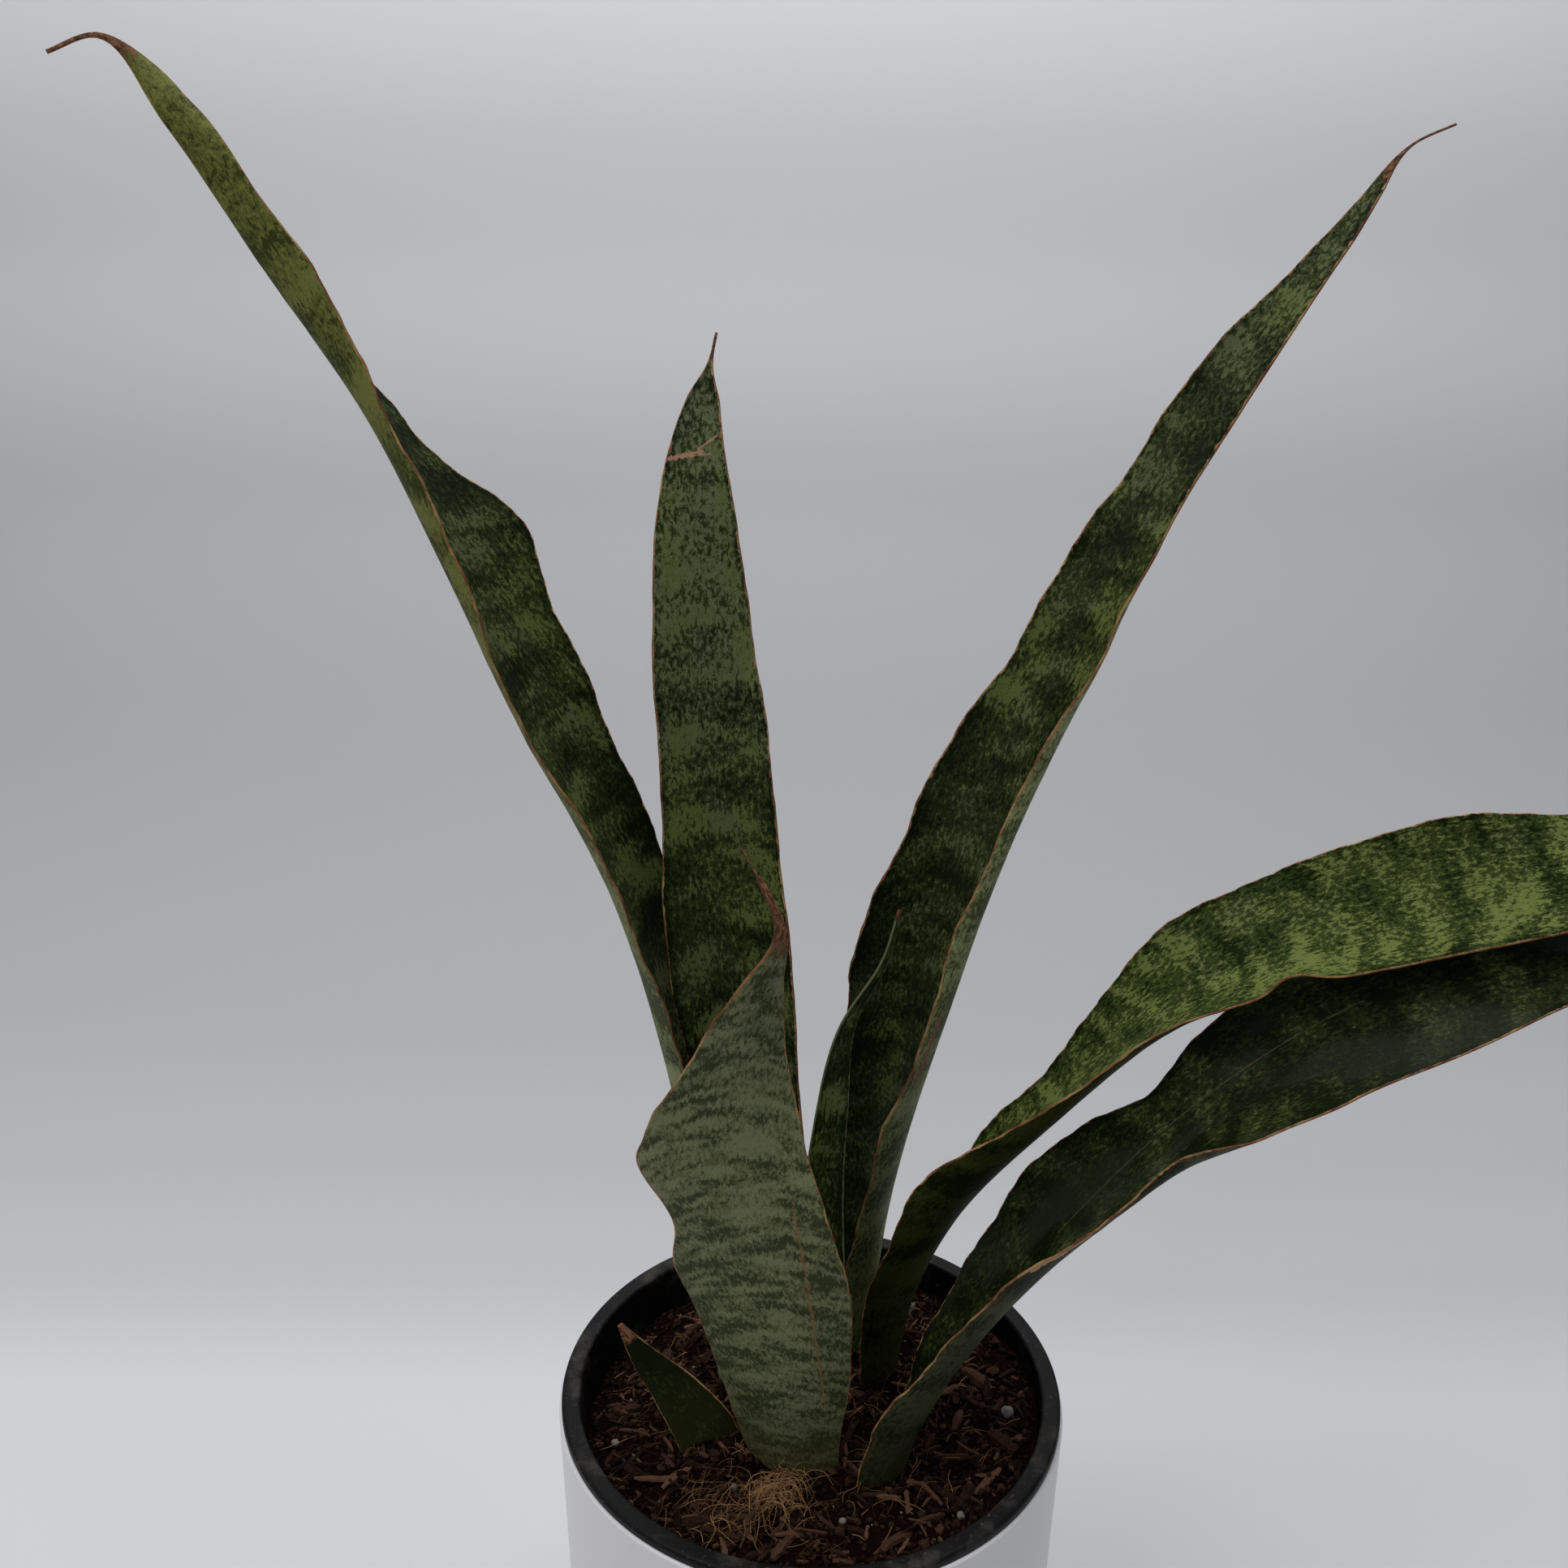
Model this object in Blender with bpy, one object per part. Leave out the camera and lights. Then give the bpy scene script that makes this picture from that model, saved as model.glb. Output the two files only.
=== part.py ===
"""Potted snake plant: eight leaves on a rhizome, in potting mix, in a nursery pot inside a cover pot.

World frame: the centre of the cover pot's flat bottom is the origin and +Z is up. Sizes are in
millimetres here and become metres when a mesh is made. Every part of the plant is placed from the
top of the nursery pot's lip, so the plant follows the pots when their height changes.
"""
import math

import bmesh
import bpy
import numpy as np

MM = 0.001

# ---- fits -------------------------------------------------------------------
GAP = 0.3               # clearance between pieces that touch on the real object

# ---- cover pot (white glazed ceramic) ---------------------------------------
COVER_HEIGHT = 138.0
COVER_TOP_RADIUS = 75.8
COVER_FOOT_RADIUS = 73.2
COVER_WALL = 5.0
COVER_FLOOR = 6.0
COVER_FOOT_ROUND = 4.0  # rounded lower edge
COVER_RIM_ROUND = 1.0   # rounded upper edges

# ---- nursery pot (black plastic liner) --------------------------------------
LIP_HEIGHT = 2.7
LIP_WIDTH = 5.6
LIP_ROUND = 1.1
LIP_INSET = 0.8         # the white rim shows this much outside the lip
LINER_WALL = 1.2
LINER_FOOT_CLEARANCE = 11.2  # between the liner's foot and the cover pot's wall
LINER_STANDOFF = 3.0    # the liner hangs by its lip, this far above the cover pot's floor
DRAIN_HOLES = 8
DRAIN_RADIUS = 4.0
DRAIN_CIRCLE = 38.0

# ---- potting mix ------------------------------------------------------------
SOIL_DROP = 10.0        # mean level below the lip
SOIL_RISE_X = 0.065     # the mix lies higher to the right ...
SOIL_RISE_Y = -0.045    # ... and to the front
SOIL_MOUND = 2.0        # heaped up round the leaf bases
SOIL_MOUND_RADIUS = 34.0
SOIL_BUMP = 0.9

# ---- rhizome and roots ------------------------------------------------------
ROOT_RADIUS = 1.6

# ---- leaves -----------------------------------------------------------------
BLADE_THICK = 2.8       # along the keel, at the base
BLADE_THICK_TIP = 1.3
MARGIN_THICK = 0.9

# ---- mesh resolution --------------------------------------------------------
ROUND_STEPS = 48
CORNER_STEPS = 3
SOIL_RINGS = 7
LEAF_STEPS = 24
LEAF_ACROSS = 8
TUBE_SIDES = 10
ROOT_SIDES = 6

# ---- worked out from the sizes above ----------------------------------------
LIP_TOP = COVER_HEIGHT + GAP + LIP_HEIGHT
LIP_RADIUS = COVER_TOP_RADIUS - LIP_INSET
LIP_INNER = LIP_RADIUS - LIP_WIDTH
LINER_TOP_RADIUS = LIP_INNER + LINER_WALL
LINER_FOOT = COVER_FLOOR + LINER_STANDOFF
LINER_NECK = LIP_TOP - LIP_HEIGHT
LINER_FOOT_RADIUS = COVER_FOOT_RADIUS - COVER_WALL - LINER_FOOT_CLEARANCE

# A leaf is a channel swept along its keel. "spine" is the keel, (x, y, height above the lip);
# "width" is the blade's width measured round the channel, "roll" turns the channel about the keel
# and "cup" is how far each half curls up from the keel, in degrees. These three are read at evenly
# spaced stations from base to tip. "lean" is the compass direction of the channel's back. "waves"
# push one margin outwards and "folds" curl it in: each is the side, seen facing the upper skin with
# the tip up, the share of the blade's length, the most that it does (mm or degrees) and its spread.
LEAVES = {
    "leaf_tall_left": {
        "lean": 180,
        "spine": [(-26, 19, -30), (-33, 20, 40), (-43, 19, 105), (-56, 16, 160), (-76, 15, 207),
                  (-101, 14, 257), (-127, 14, 310), (-156, 18, 352), (-173, 20, 370), (-182, 15, 366)],
        "width": [22, 26, 29, 33, 38, 43, 43, 35, 21, 5, 1.6],
        "roll": [-5, -8, -10, -14, -20, -22, 0, 40, 75, 100],
        "cup": [60, 60, 60, 60, 58, 52, 46, 34, 22, 10],
        "waves": [("left", 0.76, -4.5, 24), ("left", 0.92, 5, 22), ("left", 0.97, -1, 8),
                  ("right", 0.49, -5, 28), ("right", 0.65, 7.5, 20), ("right", 0.755, 9, 15),
                  ("right", 0.88, 1, 20)],
    },
    "leaf_back": {
        "lean": 90,
        "spine": [(-4, 10, -30), (-12, 10, 45), (-22, 12, 115), (-28, 14, 175), (-32, 16, 230),
                  (-34, 20, 270), (-31, 26, 290), (-28, 28, 304)],
        "width": [18, 20, 24, 31, 35, 35, 32, 26, 16, 1.6],
        "roll": [-5, -5, -5, -5, 0, 5, 10, 0, -20],
        "cup": [40, 40, 38, 34, 30, 26, 20, 12, 5],
        "waves": [("left", 0.65, -1.5, 30), ("right", 0.86, 2, 25)],
    },
    "leaf_tall_right": {
        "lean": 0,
        "spine": [(17, 31, -30), (23, 31, 40), (35, 28, 105), (52, 29, 170), (75, 32, 228),
                  (101, 37, 280), (130, 42, 327), (149, 45, 351), (158, 45, 355)],
        "width": [22, 32, 40, 41, 38, 35, 31, 24, 12, 1.6],
        "roll": [-10, -8, 4, 18, 26, 34, 42, 48, 60],
        "cup": [60, 61, 61, 59, 52, 45, 38, 28, 10],
        "waves": [("left", 0.26, 10, 75), ("left", 0.44, 7, 60), ("left", 0.9, -2, 25),
                  ("left", 0.95, -2, 15), ("right", 0.72, -7.5, 45)],
        "folds": [("right", 0.50, 60, 60), ("right", 0.65, 30, 10)],
    },
    "leaf_arching_upper": {
        "lean": 0,
        "spine": [(24, 15, -30), (28, 11, 15), (41, 2, 58), (67, -4, 97), (100, -4, 134),
                  (150, -2, 159), (200, -3, 172), (242, -4, 175), (276, -6, 162)],
        "width": [20, 28, 34, 37, 40, 42, 40, 34, 20, 1.6],
        "roll": [-30, -30, -25, -14, 0, 18, 36, 36, 25, 15],
        "cup": [58, 60, 61, 56, 46, 38, 30, 24, 18, 10],
        "waves": [("left", 0.36, -3.5, 30), ("right", 0.28, 5.5, 38), ("right", 0.78, 3, 40)],
        "folds": [("right", 0.57, 40, 7)],
    },
    "leaf_arching_lower": {
        "lean": 0,
        "spine": [(22, -26, -30), (27, -28, 0), (45, -28, 39), (72, -27, 76), (105, -26, 110),
                  (150, -21, 136), (200, -15, 148), (242, -11, 140), (270, -9, 118)],
        "width": [26, 32, 36, 40, 39, 36, 35, 29, 17, 1.6],
        "roll": [-28, -26, -16, -4, 14, 30, 34, 24, 16, 15],
        "cup": [62, 65, 62, 55, 47, 38, 30, 24, 18, 10],
        "waves": [("left", 0.24, 3, 28), ("left", 0.34, 3.5, 30), ("left", 0.44, -3, 14),
                  ("left", 0.57, 5, 24), ("right", 0.37, -4, 30), ("right", 0.475, 4.5, 10),
                  ("right", 0.54, 2, 10), ("right", 0.80, -6, 35)],
        "folds": [("right", 0.43, 60, 14)],
    },
    "leaf_front": {
        "lean": 270,
        "spine": [(-2, -26, -30), (-10, -30, 20), (-17, -34, 62), (-23, -37, 97), (-21, -37, 127),
                  (-15, -36, 150), (-10, -35, 166), (-20, -32, 188)],
        "width": [30, 38, 45, 50, 48, 40, 26, 10, 1.6],
        "roll": [-16, -16, -16, -14, -8, 10, 30, 50, 70],
        "cup": [46, 45, 41, 33, 28, 20, 14, 8, 0],
        "waves": [("left", 0.1, -4, 25), ("left", 0.9, -2.5, 14), ("right", 0.42, 1.5, 12),
                  ("right", 0.50, -5, 13), ("right", 0.585, 3.5, 8), ("right", 0.66, 1.6, 9),
                  ("right", 0.9, -1.5, 14)],
    },
    "leaf_inner": {
        "lean": 90,
        "spine": [(4, -4, -30), (3, -3, 35), (3, 0, 85), (8, 3, 120), (19, 4, 142), (22, 6, 154)],
        "width": [12, 13, 14, 13, 11, 6, 1.6],
        "roll": [-15, -10, 0, 20, 40, 60],
        "cup": [50, 50, 49, 42, 34, 20],
    },
    "leaf_pup": {
        "lean": 190,
        "spine": [(-26, -14, -26), (-32, -12, -8), (-41, -9, 4), (-50, -6, 13), (-57, -4, 23)],
        "width": [12, 18, 15, 9, 1.6],
        "roll": [-80, -80, -80, -80],
        "cup": [20, 20, 15, 5],
    },
}
SHORT_LEAVES = ("leaf_inner", "leaf_pup")

# Rhizome: thick stems, each (x, y, height above the lip, radius).
RHIZOME_STEMS = [
    [(-32, 22, -40, 7), (-24, 18, -38, 9), (-6, 11, -39, 10), (14, 22, -39, 10), (26, 22, -40, 7)],
    [(-6, 11, -39, 9), (-1, -1, -39, 9), (4, -12, -38, 9), (13, -22, -38, 8), (27, -28, -39, 6)],
    [(-1, -1, -39, 6), (-14, -9, -38, 5), (-26, -13, -35, 6), (-33, -15, -34, 5)],
]
# Roots: (x, y, height above the lip), from the rhizome outwards.
ROOTS = [
    [(-24, 18, -38), (-34, 24, -58), (-40, 26, -84)],
    [(-6, 11, -39), (-12, 20, -62), (-8, 34, -92)],
    [(14, 22, -39), (24, 30, -60), (36, 32, -88)],
    [(24, -27, -39), (35, -31, -62), (38, -26, -90)],
    [(5, -13, -38), (0, -28, -60), (-8, -34, -96)],
    [(-1, -1, -39), (2, 0, -66), (-3, 4, -104)],
    [(-26, -13, -35), (-36, -20, -54), (-41, -20, -78)],
]

# Bark on the surface: x and y as shares of the lip's inner radius, length, width, thickness,
# and the compass direction of its length.
BARK_CHIPS = [
    (-0.69, 0.32, 12, 6.0, 2.6, 70),
    (-0.81, 0.03, 9, 4.5, 2.4, 10),
    (-0.58, 0.49, 10, 5.0, 2.6, 120),
    (-0.72, -0.37, 12, 5.0, 2.6, 155),
    (-0.43, -0.63, 14, 4.5, 2.4, 20),
    (-0.12, -0.81, 10, 6.0, 2.6, 100),
    (0.32, -0.78, 11, 5.5, 2.8, 40),
    (0.61, -0.58, 9, 6.0, 3.0, 115),
    (0.81, -0.29, 12, 4.5, 2.4, 60),
    (0.75, 0.12, 10, 6.0, 2.8, 150),
    (0.66, 0.49, 12, 5.0, 2.6, 30),
    (0.05, 0.85, 10, 5.0, 2.6, 20),
    (-0.2, 0.75, 11, 5.5, 2.6, 10),
]
# Perlite grains on the surface: x and y as shares of the lip's inner radius, and radius.
PERLITE = [(0.85, -0.12, 1.9), (0.59, -0.68, 1.3), (-0.32, -0.49, 1.2), (-0.84, -0.2, 1.3), (0.49, 0.66, 1.4), (0.12, -0.69, 1.2)]


# ---- curves through a few stations -------------------------------------------
def smooth_curve(knots, values, t):
    """Cubic curve through values at knots, with slopes taken from the neighbouring stations."""
    knots = np.asarray(knots, float)
    values = np.asarray(values, float).reshape(len(knots), -1)
    step = np.diff(knots)
    slope = np.diff(values, axis=0) / step[:, None]
    tangent = np.empty_like(values)
    tangent[0] = slope[0]
    tangent[-1] = slope[-1]
    before, after = step[:-1, None], step[1:, None]
    tangent[1:-1] = (slope[:-1] * after + slope[1:] * before) / (before + after)
    i = np.clip(np.searchsorted(knots, t, side="right") - 1, 0, len(knots) - 2)
    h = step[i][:, None]
    s = ((t - knots[i]) / step[i])[:, None]
    return ((2 * s**3 - 3 * s**2 + 1) * values[i] + (s**3 - 2 * s**2 + s) * h * tangent[i]
            + (3 * s**2 - 2 * s**3) * values[i + 1] + (s**3 - s**2) * h * tangent[i + 1])


def stations(values, t):
    """Values given at evenly spaced stations, read at t from 0 to 1."""
    return smooth_curve(np.linspace(0, 1, len(values)), values, t)[:, 0]


def along(points, count):
    """Points on the smooth curve through the given ones, evenly spaced by length."""
    points = np.asarray(points, float)
    chord = np.linalg.norm(np.diff(points[:, :3], axis=0), axis=1)
    knots = np.concatenate([[0], np.cumsum(chord)])
    fine = smooth_curve(knots, points, np.linspace(0, knots[-1], 400))
    length = np.concatenate([[0], np.cumsum(np.linalg.norm(np.diff(fine[:, :3], axis=0), axis=1))])
    wanted = np.linspace(0, length[-1], count)
    return np.stack([np.interp(wanted, length, fine[:, k]) for k in range(fine.shape[1])], axis=1)


def unit(vectors):
    return vectors / np.linalg.norm(vectors, axis=1)[:, None]


# ---- meshes -------------------------------------------------------------------
def material(name, colour, roughness, metallic=0.0):
    mat = bpy.data.materials.new(name)
    mat.use_nodes = True
    shader = mat.node_tree.nodes["Principled BSDF"]
    shader.inputs["Base Color"].default_value = (*colour, 1.0)
    shader.inputs["Roughness"].default_value = roughness
    shader.inputs["Metallic"].default_value = metallic
    return mat


def add_object(name, points, faces, mat=None, smooth=True):
    """Mesh object from points in millimetres, in triangles so that Booleans cut flat faces.
    A piece without a material is a cutter."""
    mesh = bpy.data.meshes.new(name)
    mesh.from_pydata([tuple(p) for p in np.asarray(points) * MM], [], [tuple(f) for f in faces])
    bm = bmesh.new()
    bm.from_mesh(mesh)
    bmesh.ops.recalc_face_normals(bm, faces=bm.faces)
    bmesh.ops.triangulate(bm, faces=bm.faces)
    bm.to_mesh(mesh)
    bm.free()
    for face in mesh.polygons:
        face.use_smooth = smooth
    obj = bpy.data.objects.new(name, mesh)
    bpy.context.scene.collection.objects.link(obj)
    if mat is None:
        obj.hide_render = True
        obj.display_type = "WIRE"
    else:
        mesh.materials.append(mat)
    return obj


def boolean(obj, cutters, operation):
    """Cut or join with each cutter, by Blender's exact solver."""
    for cutter in cutters:
        mod = obj.modifiers.new(cutter.name, "BOOLEAN")
        mod.operation = operation
        mod.solver = "EXACT"
        mod.object = cutter


def revolve(profile):
    """Closed solid turned about Z from (radius, z) points, the first and last on the axis or not."""
    points = []
    rows = []
    for radius, z in profile:
        if radius < 1e-6:
            rows.append([len(points)] * ROUND_STEPS)
            points.append((0, 0, z))
            continue
        rows.append(list(range(len(points), len(points) + ROUND_STEPS)))
        for k in range(ROUND_STEPS):
            angle = 2 * math.pi * k / ROUND_STEPS
            points.append((radius * math.cos(angle), radius * math.sin(angle), z))
    faces = []
    for low, high in zip(rows, rows[1:] + rows[:1]):
        for k in range(ROUND_STEPS):
            n = (k + 1) % ROUND_STEPS
            face = list(dict.fromkeys([low[k], low[n], high[n], high[k]]))
            if len(face) > 2:
                faces.append(face)
    return points, faces


def corner(centre, radius, start, end):
    """Arc of a rounded profile corner, angles in degrees."""
    angles = np.radians(np.linspace(start, end, CORNER_STEPS + 1))
    return [(centre[0] + radius * math.cos(a), centre[1] + radius * math.sin(a)) for a in angles]


def tube(points, radii, sides):
    """Closed round tube with domed ends."""
    points = np.asarray(points, float)
    direction = unit(np.gradient(points, axis=0))
    across = (1.0, 0.3, 0) if abs(points[-1] - points[0]).argmax() == 2 else (0, 0, 1.0)
    side = unit(np.cross(direction, across))
    other = np.cross(direction, side)
    rings = []
    for dome in (0.45, 0.85):
        drop = math.sqrt(1 - dome**2)
        rings.append((points[0] - direction[0] * radii[0] * drop, radii[0] * dome, 0))
    rings += [(p, r, i) for i, (p, r) in enumerate(zip(points, radii))]
    for dome in (0.85, 0.45):
        drop = math.sqrt(1 - dome**2)
        rings.append((points[-1] + direction[-1] * radii[-1] * drop, radii[-1] * dome, -1))
    verts = []
    for centre, radius, i in rings:
        for k in range(sides):
            a = 2 * math.pi * k / sides
            verts.append(centre + radius * (math.cos(a) * side[i] + math.sin(a) * other[i]))
    faces = []
    for r in range(len(rings) - 1):
        for k in range(sides):
            n = (k + 1) % sides
            faces.append((r * sides + k, r * sides + n, (r + 1) * sides + n, (r + 1) * sides + k))
    faces.append(tuple(range(sides)))
    faces.append(tuple(range((len(rings) - 1) * sides, len(rings) * sides)))
    return verts, faces


# ---- pots ---------------------------------------------------------------------
def cover_radius(z):
    """Outer radius of the cover pot at height z."""
    return COVER_FOOT_RADIUS + (COVER_TOP_RADIUS - COVER_FOOT_RADIUS) * z / COVER_HEIGHT


def make_cover_pot(mat):
    inner_floor = cover_radius(COVER_FLOOR) - COVER_WALL
    inner_top = COVER_TOP_RADIUS - COVER_WALL
    foot = COVER_FOOT_ROUND
    rim = COVER_RIM_ROUND
    profile = [(0, 0)]
    profile += corner((COVER_FOOT_RADIUS - foot, foot), foot, -90, 0)
    profile += corner((COVER_TOP_RADIUS - rim, COVER_HEIGHT - rim), rim, 0, 90)
    profile += corner((inner_top + rim, COVER_HEIGHT - rim), rim, 90, 180)
    profile += corner((inner_floor - foot, COVER_FLOOR + foot), foot, 0, -90)
    profile += [(0, COVER_FLOOR)]
    return add_object("cover_pot", *revolve(profile), mat)


def liner_inner_radius(z):
    """Inner radius of the nursery pot at height z."""
    share = (z - LINER_FOOT) / (LINER_NECK - LINER_FOOT)
    outer = LINER_FOOT_RADIUS + (LINER_TOP_RADIUS - LINER_FOOT_RADIUS) * share
    return min(outer, LINER_TOP_RADIUS) - LINER_WALL


def make_nursery_pot(mat):
    floor_top = LINER_FOOT + LINER_WALL
    profile = [(0, LINER_FOOT), (LINER_FOOT_RADIUS, LINER_FOOT), (LINER_TOP_RADIUS, LINER_NECK)]
    profile += [(LIP_RADIUS, LINER_NECK)]
    profile += corner((LIP_RADIUS - LIP_ROUND, LIP_TOP - LIP_ROUND), LIP_ROUND, 0, 90)
    profile += corner((LIP_INNER + LIP_ROUND, LIP_TOP - LIP_ROUND), LIP_ROUND, 90, 180)
    profile += [(LIP_INNER, LINER_NECK), (liner_inner_radius(floor_top), floor_top), (0, floor_top)]
    pot = add_object("nursery_pot", *revolve(profile), mat)
    holes = []
    for k in range(DRAIN_HOLES):
        angle = 2 * math.pi * (k + 0.5) / DRAIN_HOLES
        x, y = DRAIN_CIRCLE * math.cos(angle), DRAIN_CIRCLE * math.sin(angle)
        verts, faces = tube([(x, y, LINER_FOOT - 2), (x, y, floor_top + 2)], [DRAIN_RADIUS] * 2, TUBE_SIDES)
        holes.append(add_object(f"cut_drain_{k}", verts, faces))
    boolean(pot, holes, "DIFFERENCE")
    return pot


# ---- potting mix --------------------------------------------------------------
def soil_height(x, y):
    """Height of the potting mix at a place."""
    radius2 = x * x + y * y
    height = LIP_TOP - SOIL_DROP + SOIL_RISE_X * x + SOIL_RISE_Y * y
    height += SOIL_MOUND * math.exp(-radius2 / SOIL_MOUND_RADIUS**2)
    return height + SOIL_BUMP * math.sin(0.17 * x + 1.0) * math.cos(0.21 * y - 0.6)


def soil_edge(angle):
    """Radius at which the mix meets the liner, whose wall narrows downwards."""
    radius = LIP_INNER
    for _ in range(3):
        height = soil_height(radius * math.cos(angle), radius * math.sin(angle))
        radius = liner_inner_radius(min(height, LINER_NECK)) - GAP
    return radius


def make_soil(mat):
    bottom = LINER_FOOT + LINER_WALL + GAP
    foot_radius = liner_inner_radius(bottom) - GAP
    points = [(0, 0, soil_height(0, 0))]
    for ring in range(1, SOIL_RINGS + 1):
        for k in range(ROUND_STEPS):
            angle = 2 * math.pi * k / ROUND_STEPS
            radius = soil_edge(angle) * ring / SOIL_RINGS
            x, y = radius * math.cos(angle), radius * math.sin(angle)
            points.append((x, y, soil_height(x, y)))
    for k in range(ROUND_STEPS):
        angle = 2 * math.pi * k / ROUND_STEPS
        points.append((foot_radius * math.cos(angle), foot_radius * math.sin(angle), bottom))
    faces = []
    for k in range(ROUND_STEPS):
        n = (k + 1) % ROUND_STEPS
        faces.append((0, 1 + k, 1 + n))
        for ring in range(SOIL_RINGS):
            a, b = 1 + ring * ROUND_STEPS, 1 + (ring + 1) * ROUND_STEPS
            faces.append((a + k, b + k, b + n, a + n))
    last = 1 + SOIL_RINGS * ROUND_STEPS
    faces.append(tuple(range(last, last + ROUND_STEPS)))
    return add_object("potting_soil", points, faces, mat)


# ---- plant --------------------------------------------------------------------
def bumps(listed, hand, distance):
    """Sum, along the blade, of the smooth bumps listed for one of its sides."""
    total = np.zeros_like(distance)
    for side, share, height, spread in listed:
        if side == hand:
            total += height * np.exp(-((distance - share * distance[-1]) / spread)**2)
    return total


def blade_section(reach, cup, fold, share):
    """How far out and up the blade's section is, part of the way from keel to margin, and its slope.
    It curls evenly by cup in all, and by fold more near the margin."""
    part = np.linspace(0, share, 25)
    slope = cup[:, None] * part + fold[:, None] * part**3
    step = reach[:, None] * share / (len(part) - 1)
    out = ((np.cos(slope[:, 1:]) + np.cos(slope[:, :-1])) / 2 * step).sum(axis=1)
    lift = ((np.sin(slope[:, 1:]) + np.sin(slope[:, :-1])) / 2 * step).sum(axis=1)
    return out, lift, slope[:, -1]


def leaf_solid(leaf, steps, across, grow=0.0, keep=1.0):
    """Closed blade: upper skin, lower skin, two margins and two ends. grow thickens it all round
    and keep stops it part of the way up, which makes the cutter for its socket."""
    spine = along(leaf["spine"], steps + 1)
    spine[:, 2] += LIP_TOP
    t = np.linspace(0, 1, steps + 1)
    direction = unit(np.gradient(spine, axis=0))
    lean = math.radians(leaf["lean"])
    level = np.array([-math.sin(lean), math.cos(lean), 0.0])
    side = unit(level - (direction @ level)[:, None] * direction)
    face = np.cross(direction, side)
    roll = np.radians(stations(leaf["roll"], t))[:, None]
    side, face = (np.cos(roll) * side + np.sin(roll) * face, np.cos(roll) * face - np.sin(roll) * side)
    half = np.maximum(stations(leaf["width"], t) / 2, 0.8)
    cup = np.radians(np.maximum(stations(leaf["cup"], t), 1.0))
    distance = t * np.linalg.norm(np.diff(spine, axis=0), axis=1).sum()
    middle = np.minimum(BLADE_THICK + (BLADE_THICK_TIP - BLADE_THICK) * t, 0.3 * half + MARGIN_THICK)
    spine[0] -= direction[0] * grow
    upper, lower = [], []
    for v in np.linspace(-1, 1, across + 1):
        hand = "left" if v > 0 else "right"
        reach = np.maximum(half + bumps(leaf.get("waves", []), hand, distance), 0.8)
        fold = np.radians(bumps(leaf.get("folds", []), hand, distance))
        out, lift, angle = blade_section(reach + grow, cup * reach / half, fold, abs(v))
        centre = spine + (out * np.sign(v))[:, None] * side + lift[:, None] * face
        normal = np.cos(angle)[:, None] * face - (np.sin(angle) * np.sign(v))[:, None] * side
        thick = MARGIN_THICK + (middle - MARGIN_THICK) * (1 - abs(v)**1.5)
        upper.append(centre + normal * (thick / 2 + grow)[:, None])
        lower.append(centre - normal * (thick / 2 + grow)[:, None])
    rows = max(2, int(round(keep * steps))) + 1
    cols = across + 1
    skins = [np.stack(skin, axis=1)[:rows].reshape(-1, 3) for skin in (upper, lower)]
    shift = rows * cols
    faces = []
    for i in range(rows - 1):
        for j in range(across):
            a = i * cols + j
            faces.append((a, a + 1, a + 1 + cols, a + cols))
            faces.append((a + shift, a + cols + shift, a + 1 + cols + shift, a + 1 + shift))
        for a in (i * cols, i * cols + across):
            faces.append((a, a + cols, a + cols + shift, a + shift))
    for row in (0, rows - 1):
        for j in range(across):
            a = row * cols + j
            faces.append((a, a + 1, a + 1 + shift, a + shift))
    return np.concatenate(skins), faces


def make_leaves(mat):
    """Every leaf, and a slightly larger cutter for the foot of each."""
    leaves, sockets = [], []
    for name, leaf in LEAVES.items():
        short = name in SHORT_LEAVES
        steps, across = (14, 6) if short else (LEAF_STEPS, LEAF_ACROSS)
        leaves.append(add_object(name, *leaf_solid(leaf, steps, across), mat))
        keep = 0.6 if short else 0.32
        socket = leaf_solid(leaf, steps, across, grow=GAP + 0.1, keep=keep)
        sockets.append(add_object(f"cut_{name}", *socket))
    return leaves, sockets


def stem_tubes(name, grow, mat=None):
    """The rhizome's stems and roots as separate tubes, grown by a clearance."""
    tubes = []
    for k, stem in enumerate(RHIZOME_STEMS):
        line = along(stem, 13)
        line[:, 2] += LIP_TOP
        tubes.append(add_object(f"{name}_stem_{k}", *tube(line[:, :3], line[:, 3] + grow, TUBE_SIDES), mat))
    for k, root in enumerate(ROOTS):
        line = along(root, 9)
        line[:, 2] += LIP_TOP
        radii = np.linspace(ROOT_RADIUS, ROOT_RADIUS * 0.5, 9) + grow
        tubes.append(add_object(f"{name}_root_{k}", *tube(line, radii, ROOT_SIDES), mat))
    return tubes


def make_rhizome(mat, sockets):
    """Stems and roots joined into one body, with a seat for each leaf."""
    tubes = stem_tubes("join", 0.0)
    line = along(RHIZOME_STEMS[0], 13)
    line[:, 2] += LIP_TOP
    rhizome = add_object("rhizome", *tube(line[:, :3], line[:, 3], TUBE_SIDES), mat)
    boolean(rhizome, tubes[1:], "UNION")
    boolean(rhizome, sockets, "DIFFERENCE")
    bpy.data.objects.remove(tubes[0])
    return rhizome


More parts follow.
